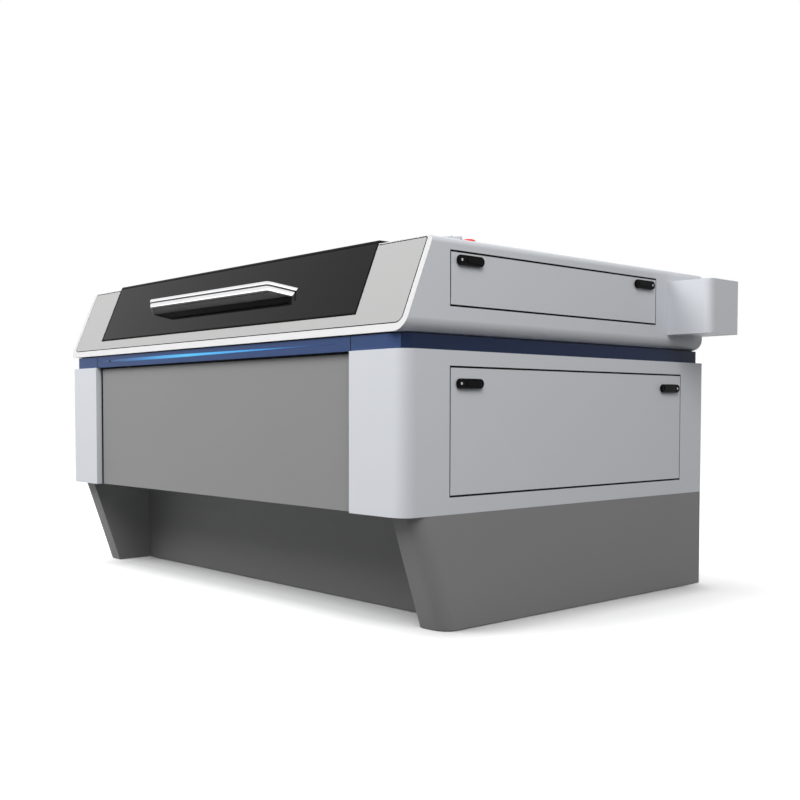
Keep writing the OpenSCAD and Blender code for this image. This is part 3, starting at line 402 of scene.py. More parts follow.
# painted shade: the side doors' edge faces are black, for the shade in their joints
for name in ("lower", "upper"):
    shade_black_edges(made_from("side_door_" + name, 0.0006, cabinet_white), lambda c, n: abs(n.x) < 0.6)
lower_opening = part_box("side_door_lower")
door_joint = 0.0035  # joint round a side door, and a little over
# painted shade: the lower opening's edge faces are black, for the shade in the joint
shade_black_edges(cabinet_right, lambda c, n: abs(n.x) < 0.6 and inside(c, lower_opening, door_joint))
made_from("door_pivots", 0.0006, zinc)
# black strips in the joints of the side doors, on the door's edges: painted shade that widens the dark joint
# lines
for name in ("lower", "upper"):
    low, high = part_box("side_door_" + name)
    under, over = high.x - 0.0005, high.x + 0.0003
    above_pivots = low.z + 0.02
    shade_strips = joined(
        [
            box("shade_strip", (under, low.y, high.z - 0.0027), (over, high.y, high.z + 0.0023), 0),
            box("shade_strip", (under, low.y, low.z), (over, high.y, low.z + 0.0030), 0),
            box("shade_strip", (under, low.y - 0.0015, above_pivots), (over, low.y + 0.0004, high.z), 0),
            box("shade_strip", (under, high.y - 0.0004, above_pivots), (over, high.y + 0.0015, high.z), 0),
        ],
        "side_door_shade_strips_" + name,
    )
    finish(shade_strips, gap_shade_black)
    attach(shade_strips, name + "_door_body")

# -------------------------------------------------- collar and louvres
# A spun sheet collar for the extraction hose, held by four screws, and pressed
# hoods over the air slots of the rear panels.
made_from("exhaust_collar", 0.0008, zinc_sheet)
screw = turned(
    "screw",
    [(0.0044, 0.0), (0.0046, 0.0006), (0.0042, 0.0018), (0.0032, 0.0026), (0.0022, 0.0026),
     (0.0019, 0.0012)],
    24,
)
finish(screw, zinc)


def screws(name, places, turn, body, material=None):
    """A row of button-head screws; turn points their heads outwards."""
    row = joined([another(screw, p, turn) for p in places], name)
    finish(row, material or zinc)
    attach(row, body)
    return row


collar_low, collar_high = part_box("exhaust_collar")
collar_x = (collar_low.x + collar_high.x) / 2
collar_z = (collar_low.z + collar_high.z) / 2
screw_ring = 0.086  # radius of the ring of screws in the collar's flange
screws(
    "collar_screws",
    [
        (collar_x + screw_ring * math.cos(a), back_y + 0.002, collar_z + screw_ring * math.sin(a))
        for a in [math.radians(45 + 90 * i) for i in range(4)]
    ],
    (-90, 0, 0),
    "machine",
)
panel_low, panel_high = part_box("rear_panel")
head_low, head_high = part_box("head_rear_cover")
edge_screws = [
    (x, back_y, z)
    for x in (panel_low.x + 0.018, panel_high.x - 0.018)
    for z in (0.06, 0.25, 0.36, 0.54, 0.72)
] + [
    (x, back_y, z)
    for x in (head_low.x + 0.06, (head_low.x + head_high.x) / 2, head_high.x - 0.06)
    for z in (head_low.z + 0.02, head_high.z - 0.03)
]
screws("rear_screws", edge_screws, (-90, 0, 0), "machine")


def louvre(width):
    """Pressed hood over one air slot, open at its lower edge."""
    bpy.ops.object.select_all(action="DESELECT")
    bpy.ops.mesh.primitive_cylinder_add(
        vertices=24, radius=0.009, depth=width, location=(0, 0, 0), rotation=(0, math.pi / 2, 0)
    )
    piece = bpy.context.object
    piece.name = "louvre"
    bpy.ops.object.transform_apply(location=True, rotation=True, scale=True)
    bpy.ops.object.mode_set(mode="EDIT")
    bpy.ops.mesh.select_all(action="SELECT")
    bpy.ops.mesh.bisect(plane_co=(0, 0, 0), plane_no=(0, -1, 0), clear_outer=True)
    bpy.ops.mesh.select_all(action="SELECT")
    bpy.ops.mesh.bisect(plane_co=(0, 0, 0), plane_no=(0, 0, -1), clear_outer=True)
    bpy.ops.object.mode_set(mode="OBJECT")
    shell = piece.modifiers.new("shell", "SOLIDIFY")
    shell.thickness = 0.0012
    shell.offset = -1
    bpy.ops.object.modifier_apply(modifier=shell.name)
    piece.scale = (1, 0.55, 1)
    bpy.ops.object.transform_apply(location=False, rotation=False, scale=True)
    smooth(piece)
    return piece


wide = panel_high.x - panel_low.x + 0.004
middle_x = (panel_low.x + panel_high.x) / 2
hoods = []
# ten slots in two columns for the electrics, six in three for the chamber
low_hood = louvre(0.158)
for x in (0.22, 0.33):
    for i in range(10):
        slot_z = 0.427 + 0.026 * i
        hoods.append(another(low_hood, (middle_x + x * wide + 0.075, back_y, slot_z + 0.003)))
high_hood = louvre(0.16 * wide + 0.008)
for x in (-0.34, -0.1, 0.14):
    for i in range(6):
        slot_z = head_low.z + 0.060 + 0.024 * i
        hoods.append(another(high_hood, (middle_x + (x + 0.08) * wide, back_y, slot_z + 0.003)))
gone(low_hood)
gone(high_hood)
hoods = joined(hoods, "louvres")
finish(hoods, cabinet_white)
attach(hoods, "machine")

# ------------------------------------------------------------- belt
# A recessed band of dark blue folded sheet between cabinet and head, in three
# lengths with fine joints, and a lit acrylic lens let into the front length.
belt_blue = dull(powder_coat("belt_blue", (0.042, 0.073, 0.178), 0.42, 0.03), 0.15)
made_from("belt_centre", 0.0005, belt_blue)
belt_ends = made_from("belt_ends", 0.0005, belt_blue)
# its two sides are a darker navy: painted shade of the sides under the head's overhang
belt_side_shade = dull(powder_coat("belt_side_shade_navy", (0.012, 0.022, 0.058), 0.42, 0.03), 0.1)
belt_ends.data.materials.append(belt_side_shade)
for face in belt_ends.data.polygons:
    if abs(face.normal.x) > 0.8:
        face.material_index = 1
# black in the two joints of the front length: painted shade of the joints
belt_low, belt_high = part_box("belt_centre")
joint_front, joint_back = belt_low.y - 0.0003, belt_low.y + 0.001
joint_half = 0.0012
belt_joint_shade = joined(
    [
        box(
            "joint",
            (x - joint_half, joint_front, belt_low.z),
            (x + joint_half, joint_back, belt_high.z),
            0,
        )
        for x in (belt_low.x, belt_high.x)
    ],
    "belt_joint_shade",
)
finish(belt_joint_shade, gap_shade_black)
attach(belt_joint_shade, "machine")


def light_lens(name, low, high):
    """Lit acrylic: brightest left of the middle, dying away to both points."""
    material, tree, shader = new_material(name)
    place = tree.nodes.new("ShaderNodeTexCoord")
    split = tree.nodes.new("ShaderNodeSeparateXYZ")
    tree.links.new(place.outputs["Object"], split.inputs["Vector"])
    along = tree.nodes.new("ShaderNodeMapRange")
    along.inputs["From Min"].default_value = low.x
    along.inputs["From Max"].default_value = high.x
    tree.links.new(split.outputs["X"], along.inputs["Value"])
    fade = tree.nodes.new("ShaderNodeValToRGB")
    stops = fade.color_ramp.elements
    stops[0].color = (0.004, 0.025, 0.11, 1)
    stops[1].color = (0.002, 0.020, 0.09, 1)
    for at, colour in (
        (0.14, (0.006, 0.08, 0.22)), (0.22, (0.01, 0.17, 0.44)), (0.31, (0.04, 0.34, 0.70)),
        (0.44, (0.06, 0.52, 0.90)), (0.60, (0.04, 0.40, 0.80)), (0.74, (0.02, 0.27, 0.66)),
        (0.83, (0.01, 0.13, 0.38)), (0.92, (0.005, 0.06, 0.19)),
    ):
        stops.new(at).color = (*colour, 1)
    tree.links.new(along.outputs["Result"], fade.inputs["Fac"])
    tree.links.new(fade.outputs["Color"], shader.inputs["Emission Color"])
    # the light is behind the middle of the lens and weaker at its edges
    off_centre = tree.nodes.new("ShaderNodeMath")
    off_centre.operation = "SUBTRACT"
    off_centre.inputs[1].default_value = (low.z + high.z) / 2
    tree.links.new(split.outputs["Z"], off_centre.inputs[0])
    distance = tree.nodes.new("ShaderNodeMath")
    distance.operation = "ABSOLUTE"
    tree.links.new(off_centre.outputs[0], distance.inputs[0])
    across = tree.nodes.new("ShaderNodeMapRange")
    across.inputs["From Max"].default_value = (high.z - low.z) / 2
    across.inputs["To Min"].default_value = 1.0
    across.inputs["To Max"].default_value = 0.7
    tree.links.new(distance.outputs[0], across.inputs["Value"])
    tree.links.new(across.outputs["Result"], shader.inputs["Emission Strength"])
    grain = noise_at(tree, 300.0, 2.0)
    tree.links.new(
        between(tree, grain, (0.01, 0.03, 0.08), (0.015, 0.04, 0.10)), shader.inputs["Base Color"]
    )
    shader.inputs["Roughness"].default_value = 0.3
    return material


strip_low, strip_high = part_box("light_strip")
made_from("light_strip", 0.0006, light_lens("strip_light", strip_low, strip_high))
# one black screw holds the lens near its left point
strip_middle = (strip_low.z + strip_high.z) / 2
cap_screw = another(screw, (strip_low.x + 0.078, strip_low.y + 0.0002, strip_middle), (90, 0, 0))
cap_screw.name = "strip_screw"
finish(cap_screw, frame_black)
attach(cap_screw, "machine")

# ------------------------------------------------------- head shell
# The head's sides wrap over into the deck and under into a shelf. A white
# frame and a light grey fascia, both raked back, close the front.
trim_white = powder_coat("trim_white", (0.64, 0.64, 0.645), 0.35, 0.006, 0.06)
fascia_grey = powder_coat("fascia_grey", (0.41, 0.41, 0.408), 0.42, 0.015)
for node in ("head_side_left", "head_rear_cover", "tube_end_box"):
    made_from(node, 0.0006, cabinet_white)
upper_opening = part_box("side_door_upper")
# painted shade: the upper opening's edge faces are black, for the shade in the joint
shade_black_edges(
    made_from("head_side_right", 0.0006, cabinet_white),
    lambda c, n: abs(n.x) < 0.6 and inside(c, upper_opening, door_joint),
)
front_trim = made_from("head_front_frame", 0.0008, trim_white)
trim_low, trim_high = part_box("head_front_frame")
fascia = made_from("front_fascia", 0.0006, fascia_grey)
made_from("chamber_rear_wall", 0.0006, zinc_sheet)

# the front is raked back, and is set out from the trim's lower front edge
lean = math.radians(23)
foot_y = trim_low.y
foot_z = trim_low.z


def depth_behind_front(point):
    """How far a point lies behind the raked face, in metres."""
    return (point.y - foot_y) * math.cos(lean) - (point.z - foot_z) * math.sin(lean)


def height_up_front(point):
    return (point.y - foot_y) * math.sin(lean) + (point.z - foot_z) * math.cos(lean)


# black on the fascia's edge faces, and on the trim's walls round it: painted shade of the joint round the
# fascia
shade_black_edges(fascia, lambda c, n: n.z * math.sin(lean) - n.y * math.cos(lean) < 0.8)
shade_black_edges(
    front_trim,
    lambda c, n: depth_behind_front(c) > 0.0006
    and height_up_front(c) > 0.012
    and trim_low.x + 0.010 < c.x < trim_high.x - 0.010,
)

# ---------------------------------------------------- side latches
# Black moulded levers that lie flat on the side doors. Each turns on a small
# plated lock barrel and drives a short steel cam behind the door.


def moulded(name, colour, rough, grain=900.0, bump=0.2):
    """Moulded plastic with a fine spark-eroded texture."""
    material, tree, shader = new_material(name)
    texture = noise_at(tree, grain, 2.0)
    light = [c * 1.25 for c in colour]
    tree.links.new(between(tree, texture, colour, light), shader.inputs["Base Color"])
    tree.links.new(ranged(tree, texture, rough - 0.05, rough + 0.08), shader.inputs["Roughness"])
    bumped(tree, shader, texture, bump, 0.0002)
    return material


def faces_where(piece, test):
    """Selects faces by place and normal, and leaves the piece in edit mode."""
    alone(piece)
    bpy.ops.object.mode_set(mode="EDIT")
    bpy.ops.mesh.select_mode(type="FACE")
    bpy.ops.mesh.select_all(action="DESELECT")
    bpy.ops.object.mode_set(mode="OBJECT")
    for face in piece.data.polygons:
        face.select = test(face.center, face.normal)
    bpy.ops.object.mode_set(mode="EDIT")


def stadium(name, length, profile):
    """A turned shape drawn out along +X into a bar with round ends."""
    piece = turned(name, profile)
    for point in piece.data.vertices:
        if point.co.x > 1e-6:
            point.co.x += length - 2 * profile[0][0]
    smooth(piece)
    return piece


lever_black = dull(moulded("lever_black", (0.003, 0.003, 0.0035), 0.34), 0.05)
lever_length, lever_width, lever_thick = 0.103, 0.027, 0.008
lever = stadium(
    "lever",
    lever_length,
    [(0.0135, 0.0), (0.0135, 0.0052), (0.0132, 0.0064), (0.0124, 0.0074), (0.0112, 0.0079),
     (0.0100, 0.0080), (0.0092, 0.0079), (0.0088, 0.0070), (0.0086, 0.0068)],
)
# raised grip at the free end
grip = stadium(
    "grip",
    0.058,
    [(0.0074, 0.0), (0.0074, 0.0010), (0.0070, 0.0017), (0.0062, 0.0020), (0.0030, 0.0021)],
)
put(grip, (0.027, 0, lever_thick - 0.0013))
lever = joined([lever, grip], "lever")
finish(lever, lever_black)
lock = turned(
    "lock",
    [(0.0036, 0.0), (0.0036, 0.0013), (0.0032, 0.0017), (0.0024, 0.0018), (0.0008, 0.0018)],
    32,
)
finish(lock, metal("lock_plate", (0.50, 0.50, 0.51), 0.3, 300.0))
# a black block stands for the keyway: painted shade of the slot
key_slot = box("key_slot", (-0.0020, -0.0003, 0.0014), (0.0020, 0.0003, 0.0020), 0)
finish(key_slot, gap_shade_black)
lock = joined([lock, key_slot], "lock")
put(lock, (0, 0, lever_thick - 0.0012))
spindle = turned("spindle", [(0.004, -0.0335), (0.004, 0.0)], 24)
cam = box("cam", (-0.008, -0.008, -0.0303), (0.018, 0.008, -0.0263), 0.001)
steel_parts = joined([spindle, cam], "steel_parts")
finish(steel_parts, zinc)
whole_lever = joined([lever, lock, steel_parts], "whole_lever")
for name in ("upper_front", "upper_rear", "lower_front", "lower_rear"):
    low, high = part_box("latch_lever_" + name)
    front = name.endswith("front")
    pivot_y = low.y + lever_width / 2 if front else high.y - lever_width / 2
    pivot_z = low.z + lever_width / 2
    made = another(whole_lever, (0, 0, 0))
    # lay the plate on the door: its length along Y, its thickness along X
    put(made, (0, 0, 0), (0, 0, 90 if front else -90))
    put(made, (0, 0, 0), (0, 90, 0))
    put(made, (high.x - lever_thick, pivot_y, pivot_z))
    made.name = "latch_lever_" + name + "_made"
    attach(made, "lever_" + name)
    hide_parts("latch_lever_" + name)
gone(whole_lever)
made_from("latch_bodies_upper", 0.0006, lever_black)
made_from("latch_bodies_lower", 0.0006, lever_black)

# ---------------------------------------------------------------- lid
# A bent tube frame carries a raked front pane and a flat top pane of nearly
# black tinted acrylic. Three butt hinges and two gas springs hold it.
lid_black = powder_coat("lid_black", (0.018, 0.018, 0.019), 0.38, 0.1)
made_from("lid_frame", 0.0015, lid_black)


def tinted(name):
    """Dark tinted acrylic with a polished face and the odd wipe mark."""
    material, tree, shader = new_material(name)
    wipe = noise_at(tree, 6.0, 5.0, (1, 4, 4))
    tree.links.new(
        between(tree, wipe, (0.0012, 0.0012, 0.0013), (0.0020, 0.0020, 0.0021)),
        shader.inputs["Base Color"],
    )
    tree.links.new(ranged(tree, wipe, 0.03, 0.055), shader.inputs["Roughness"])
    shader.inputs["IOR"].default_value = 1.26
    return material


pane_black = tinted("tinted_pane")
made_from("lid_front_pane", 0.0006, pane_black)
made_from("lid_top_pane", 0.0006, pane_black)

# a thin black frame in the joint round the front pane: painted shade of the joint
front_pane = [v.co for v in bpy.data.objects["lid_front_pane"].data.vertices]
on_face = min(depth_behind_front(v) for v in front_pane)
face_points = [v for v in front_pane if depth_behind_front(v) < on_face + 0.0005]
pane_x = (min(v.x for v in face_points), max(v.x for v in face_points))
pane_up = (min(height_up_front(v) for v in face_points), max(height_up_front(v) for v in face_points))
rim = 0.0035
shade_front, shade_back = on_face - 0.0008, on_face + 0.0012
pane_shade_frame = joined(
    [
        box("shade_strip", (pane_x[0], shade_front, pane_up[0]), (pane_x[1], shade_back, pane_up[0] + rim), 0),
        box("shade_strip", (pane_x[0], shade_front, pane_up[1] - rim), (pane_x[1], shade_back, pane_up[1]), 0),
        box("shade_strip", (pane_x[0], shade_front, pane_up[0]), (pane_x[0] + rim, shade_back, pane_up[1]), 0),
        box("shade_strip", (pane_x[1] - rim, shade_front, pane_up[0]), (pane_x[1], shade_back, pane_up[1]), 0),
    ],
    "pane_shade_frame",
)
finish(pane_shade_frame, gap_shade_black)
put(pane_shade_frame, (0, foot_y, foot_z), (-math.degrees(lean), 0, 0))
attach(pane_shade_frame, "lid_body")

# -------------------------------------------------------- lid handle
# One length of grooved aluminium section, bent at both ends and closed by thin
# plates above and below; screws pass through the pane.
anodised = metal("satin_aluminium", (0.93, 0.93, 0.94), 0.2, 90.0, (0.06, 1, 1), 0.04)
bar_half, foot_half = 0.350, 0.425  # half lengths of the bar and over both feet
reach, bar_height = 0.061, 0.026  # how far the bar stands off, and its depth
handle_up = 0.1466  # from the foot of the raked front
bend = 0.040  # inner radius of a bend
leg_turn = math.atan2(reach, foot_half - bar_half)
sunk = 0.030  # spare length of each leg, cut off at the pane


def face_at(height):
    """How far the upright face of the bar lies behind its top edge."""
    return (bar_height - height) * math.tan(lean)


def bulged(low, high, rise, steps):
    """A gently rounded band of the section between two heights."""
    points = []
    for i in range(steps + 1):
        height = low + (high - low) * i / steps
        points.append((face_at(height) + 0.0004 - rise * math.sin(math.pi * i / steps), height))
    return points


section = (
    [(face_at(0) + 0.010, 0.0), (face_at(0) + 0.0020, 0.0)]
    + bulged(0.0008, 0.0126, 0.0013, 8)
    + [(face_at(0.0132) + 0.0014, 0.0132), (face_at(0.0137) + 0.0034, 0.0137)]
    + [(face_at(0.0166) + 0.0034, 0.0166), (face_at(0.0171) + 0.0014, 0.0171)]
    + bulged(0.0177, 0.0254, 0.0008, 6)
    + [(0.0022, 0.0260), (0.010, 0.0260), (0.010, 0.0235), (0.006, 0.0235)]
    + [(face_at(0.0025) + 0.006, 0.0025), (face_at(0) + 0.010, 0.0025)]
)
bpy.ops.object.select_all(action="DESELECT")
bpy.ops.mesh.primitive_circle_add(
    vertices=len(section), radius=0.01, fill_type="NGON", location=(0, 0, 0)
)
handle = bpy.context.object
for point, (behind, height) in zip(handle.data.vertices, section):
    point.co = (0, behind, height)
leg_along = Vector((math.cos(leg_turn), -math.sin(leg_turn), 0))
start = Vector((-foot_half, 0, 0)) - sunk * leg_along
put(handle, start, (0, 0, -math.degrees(leg_turn)))
corner = bend * math.tan(leg_turn / 2)
leg = math.hypot(reach, foot_half - bar_half) + sunk - corner
bpy.ops.object.mode_set(mode="EDIT")
bpy.ops.mesh.select_all(action="SELECT")
bpy.ops.mesh.extrude_region_move(TRANSFORM_OT_translate={"value": leg * leg_along})
for side in (-1, 1):
    # the spin tool turns clockwise for a positive angle
    bpy.ops.mesh.spin(
        steps=14,
        angle=-leg_turn,
        center=(side * (bar_half - corner), bend - reach, 0),
        axis=(0, 0, 1),
    )
    if side < 0:
        bpy.ops.mesh.extrude_region_move(
            TRANSFORM_OT_translate={"value": (2 * (bar_half - corner), 0, 0)}
        )
back_along = Vector((leg_along.x, -leg_along.y, 0))
bpy.ops.mesh.extrude_region_move(TRANSFORM_OT_translate={"value": leg * back_along})
bpy.ops.mesh.select_all(action="SELECT")
bpy.ops.mesh.bisect(plane_co=(0, 0, 0), plane_no=(0, 1, 0), clear_outer=True, use_fill=True)
bpy.ops.mesh.select_all(action="SELECT")
bpy.ops.mesh.normals_make_consistent(inside=False)
bpy.ops.object.mode_set(mode="OBJECT")
smooth(handle, 35)


def handle_plate(name, low, high, front):
    """A flat plate between the section and the pane, as wide as the section."""
    plate = box(name, (-0.5, -front, low), (0.5, 0, high), 0)
    for point in plate.data.vertices:
        half = foot_half - 0.012 if point.co.y > -0.001 else bar_half - 0.012
        point.co.x = math.copysign(half, point.co.x)
    return plate


under_plate = handle_plate("under_plate", 0.0022, 0.0040, reach - 0.020)
over_plate = handle_plate("over_plate", 0.0222, 0.0242, reach - 0.008)
handle = joined([handle, under_plate, over_plate], "lid_handle_made")
finish(handle, anodised)
# painted shade: the faces facing down take a darker grey lacquer, and the groove's faces a dark grey
handle.data.materials.append(powder_coat("underside_shade_lacquer", (0.52, 0.52, 0.53), 0.4, 0.03, 0.1))
handle.data.materials.append(powder_coat("groove_shade_grey", (0.09, 0.09, 0.095), 0.5))
for face in handle.data.polygons:
    if face.normal.z < -0.75:
        face.material_index = 1
    if 0.0130 < face.center.z < 0.0173 and abs(face.normal.x) < 0.99:
        face.material_index = 2
# black strip where the lower plate meets the section: painted shade of the seam
seam_shade = box("seam_shade", (-bar_half, 0.0208 - reach, 0.0001), (bar_half, 0.0235 - reach, 0.0030), 0)
finish(seam_shade, gap_shade_black)
handle = joined([handle, seam_shade], "lid_handle_made")
# and a black disc near each bend: painted shade of a screw hole
for side in (-1, 1):
    hole_shade = turned("hole_shade", [(0.0055, -0.0004), (0.0055, 0.0006)], 24)
    put(hole_shade, (side * (bar_half + 0.004), -reach + 0.026, 0.0022))
    finish(hole_shade, gap_shade_black)
    handle = joined([handle, hole_shade], "lid_handle_made")
handle_low, handle_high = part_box("lid_handle")
handle_x = (handle_low.x + handle_high.x) / 2
put(handle, (0, 0, handle_up))
put(handle, (handle_x, foot_y, foot_z), (-math.degrees(lean), 0, 0))
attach(handle, "lid_body")
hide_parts("lid_handle")

# -------------------------------------------------------- lid hinges
# Three plated steel butt hinges between the deck and the lid frame, each leaf
# held to the deck by button-head screws.
made_from("lid_hinges", 0.0006, zinc)
top_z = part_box("head_rear_cover")[1].z
lid_low, lid_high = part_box("lid_top_pane")
lid_half = (lid_high.x - lid_low.x) / 2
lid_mid = (lid_high.x + lid_low.x) / 2
hinge_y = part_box("lid_hinges")[1].y
leaf_screws = [
    (lid_mid + side * 0.6 * lid_half + x, hinge_y - 0.013, top_z + 0.0022)
    for side in (-1, 0, 1)
    for x in (-0.028, 0, 0.028)
]
screws("hinge_screws", leaf_screws, (0, 0, 0), "machine")

# ------------------------------------------------------- gas springs
# Painted steel tubes with a polished rod, each on a pin at the deck's edge and
# on a stud in the lid frame.
chrome = metal("chrome_rod", (0.85, 0.85, 0.86), 0.08, 200.0, (1, 1, 1), 0.03)
for side in ("left", "right"):
    made_from("gas_spring_tube_" + side, 0.001, lid_black)
    made_from("gas_spring_rod_" + side, 0.0006, chrome)

# --------------------------------------------------- operator's console
# A white folded wedge on the right deck with a touch display set in its tilted
# top. Behind it are the emergency stop and the key switch.
made_from("console", 0.0012, cabinet_white)
glass_black = moulded("display_glass", (0.010, 0.013, 0.018), 0.12, 40.0, 0.0)
display = made_from("display", 0.0006, glass_black)


def lit_screen(name):
    """A dim touch screen: plain tiles of slightly different blue and grey."""
    material, tree, shader = new_material(name)
    place = tree.nodes.new("ShaderNodeTexCoord")
    tiles = tree.nodes.new("ShaderNodeTexBrick")
    tiles.offset = 0.0
    tiles.inputs["Scale"].default_value = 1.0
    tiles.inputs["Brick Width"].default_value = 0.0185
    tiles.inputs["Row Height"].default_value = 0.0145
    tiles.inputs["Mortar Size"].default_value = 0.0016
    tiles.inputs["Color1"].default_value = (0.03, 0.10, 0.24, 1)
    tiles.inputs["Color2"].default_value = (0.10, 0.20, 0.34, 1)
    tiles.inputs["Mortar"].default_value = (0.006, 0.012, 0.03, 1)
    tree.links.new(place.outputs["Object"], tiles.inputs["Vector"])
    tree.links.new(tiles.outputs["Color"], shader.inputs["Emission Color"])
    shader.inputs["Emission Strength"].default_value = 0.8
    grain = noise_at(tree, 200.0)
    tree.links.new(ranged(tree, grain, 0.08, 0.14), shader.inputs["Roughness"])
    shader.inputs["Base Color"].default_value = (0.01, 0.012, 0.016, 1)
    return material


display.data.materials.append(lit_screen("lit_screen"))
display_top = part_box("display")[1].z - 0.016
faces_where(display, lambda c, n: n.z > 0.95 and c.z > display_top)
bpy.ops.mesh.inset(thickness=0.007, depth=0)
display.active_material_index = 1
bpy.ops.object.material_slot_assign()
bpy.ops.object.mode_set(mode="OBJECT")
base_grey = moulded("stop_base_grey", (0.30, 0.30, 0.31), 0.45)
made_from("estop_base", 0.001, base_grey)
stop_red = moulded("stop_red", (0.72, 0.012, 0.010), 0.28, 500.0, 0.08)
stop_low, stop_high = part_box("estop_button")
stop_x, stop_y = (stop_low.x + stop_high.x) / 2, (stop_low.y + stop_high.y) / 2
stop = turned(
    "estop_button_made",
    [(0.006, 0.0), (0.006, 0.0300), (0.0135, 0.0305), (0.0165, 0.0314), (0.0190, 0.0330),
     (0.0198, 0.0344), (0.0200, 0.0362), (0.0198, 0.0380), (0.0188, 0.0400), (0.0168, 0.0415),
     (0.0140, 0.0424), (0.0105, 0.0428), (0.0060, 0.0430), (0.0020, 0.0430)],
    64,
)
put(stop, (stop_x, stop_y, stop_low.z))
finish(stop, stop_red)
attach(stop, "stop_button")
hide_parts("estop_button")
key_low, key_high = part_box("key_switch")
key_x, key_y = (key_low.x + key_high.x) / 2, (key_low.y + key_high.y) / 2
key_barrel = turned(
    "key_barrel",
    [(0.008, 0.0), (0.008, 0.0183), (0.0118, 0.0183), (0.012, 0.0190), (0.012, 0.0214),
     (0.0112, 0.0223), (0.0088, 0.0223), (0.0085, 0.0212), (0.0060, 0.0212)],
    48,
)
key_blade = box("key_blade", (-0.0038, -0.0011, 0.021), (0.0038, 0.0011, 0.030), 0.0004)
key_bow = turned("key_bow", [(0.0085, -0.0012), (0.0094, -0.0006), (0.0094, 0.0006), (0.0085, 0.0012)], 40)
put(key_bow, (0, 0, 0.0355), (90, 0, 0))
key_made = joined([key_barrel, key_blade, key_bow], "key_switch_made")
finish(key_made, chrome)
put(key_made, (key_x, key_y, key_low.z))
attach(key_made, "key")
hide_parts("key_switch")

# ------------------------------------------------------ laser gantry
# Anodised extrusions on both sides carry a cross beam; the carriage runs along
# its front on a ground steel guide. Belts and a cross shaft drive them.
extrusion = metal("anodised_extrusion", (0.66, 0.67, 0.69), 0.32, 260.0, (0.05, 1, 1), 0.03)
made_from("y_modules", 0.0008, extrusion)
made_from("y_drive_shaft", 0.0006, chrome)
made_from("gantry_beam", 0.0008, extrusion)
made_from("laser_carriage", 0.001, lid_black)
made_from("laser_head", 0.0012, anodised)
made_from("y_motor", 0.0015, lid_black)

# ------------------------------------------------------- lifting bed
# Aluminium slats on a painted tube frame, raised and lowered by four screws
# that one belt turns together.
bed_grey = powder_coat("bed_grey", (0.25, 0.26, 0.27), 0.55)
made_from("bed_frame", 0.002, bed_grey)
made_from("bed_slats", 0.0004, extrusion, 2)
for number in range(1, 5):
    made_from("bed_screw_%d" % number, 0.0006, zinc)

# --------------------------------------- laser tube, tray, electrics
# A sealed glass tube in two clamps along the back, a folded scrap tray over
# the floor, and the supply and drivers on a plate inside the right side.


def clear_glass(name):
    material, tree, shader = new_material(name)
    haze = noise_at(tree, 8.0)
    tree.links.new(between(tree, haze, (0.86, 0.95, 0.97), (0.92, 0.98, 0.99)), shader.inputs["Base Color"])
    tree.links.new(ranged(tree, haze, 0.02, 0.06), shader.inputs["Roughness"])
    shader.inputs["Transmission Weight"].default_value = 0.9
    shader.inputs["IOR"].default_value = 1.47
    return material


made_from("laser_tube", 0.002, clear_glass("tube_glass"))
made_from("tube_clamps", 0.0015, lid_black)
made_from("scrap_tray", 0.0006, zinc_sheet)
case_grey = powder_coat("case_grey", (0.33, 0.34, 0.35), 0.5)
made_from("electronics", 0.001, case_grey)
gone(screw)

# --------------------------------------------- terminals and wiring duct
# Green plug-in terminals on the drivers and the controller, a black screw
# strip and a vent on the laser supply, and a slotted duct for the wires.
plate_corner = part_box("electronics")[0]
pitch = 0.0115  # of terminals and of vent slots


def on_plate(name, low, high, radius=0.0):
    """A block set out from the lower front corner of the electrics plate."""
    low = [a + b for a, b in zip(plate_corner, low)]
    high = [a + b for a, b in zip(plate_corner, high)]
    return box(name, low, high, radius, 2)


def row_of(piece, count, step):
    """Repeats a piece along the plate."""
    alone(piece)
    row = piece.modifiers.new("row", "ARRAY")
    row.use_relative_offset = False
    row.use_constant_offset = True
    row.constant_offset_displace = (0, step, 0)
    row.count = count
    bpy.ops.object.modifier_apply(modifier="row")
    return piece


def fitted(pieces, name, material):
    finish(joined(pieces, name), material)
    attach(bpy.context.object, "machine")


terminals = [
    on_plate("terminals", (0.0415, 0.652, height), (0.051, 0.662, height + 0.016), 0.0008)
    for height in (0.038, 0.196)
]
for row in terminals:
    row_of(row, 12, pitch)
for height in (0.050, 0.122):
    for start in (0.424, 0.484, 0.544):
        plug = on_plate("plug", (0.0355, start, height), (0.045, start + 0.0075, height + 0.028), 0.0008)
        terminals.append(row_of(plug, 4, 0.0082))
fitted(terminals, "terminals", moulded("terminal_green", (0.03, 0.20, 0.07), 0.42))

strip = row_of(on_plate("strip", (0.0515, 0.080, 0.030), (0.061, 0.0905, 0.054), 0.0008), 11, pitch)
cover = on_plate("cover", (0.0415, 0.668, 0.078), (0.0432, 0.772, 0.172), 0.0008)
vent = row_of(on_plate("vent", (0.0515, 0.232, 0.066), (0.0524, 0.237, 0.176), 0.0003), 10, pitch)
fitted([strip, cover, vent], "strip_vent_and_cover", moulded("terminal_black", (0.02, 0.02, 0.021), 0.4))

heads = []
for number in range(11):
    head = turned("head", [(0.0032, 0), (0.0032, 0.0009), (0.0024, 0.0014)], 16)
    head_place = (0.0609, 0.0852 + pitch * number, 0.042)
    heads.append(put(head, [a + b for a, b in zip(plate_corner, head_place)], (0, 90, 0)))
fitted(heads, "strip_screws", zinc)

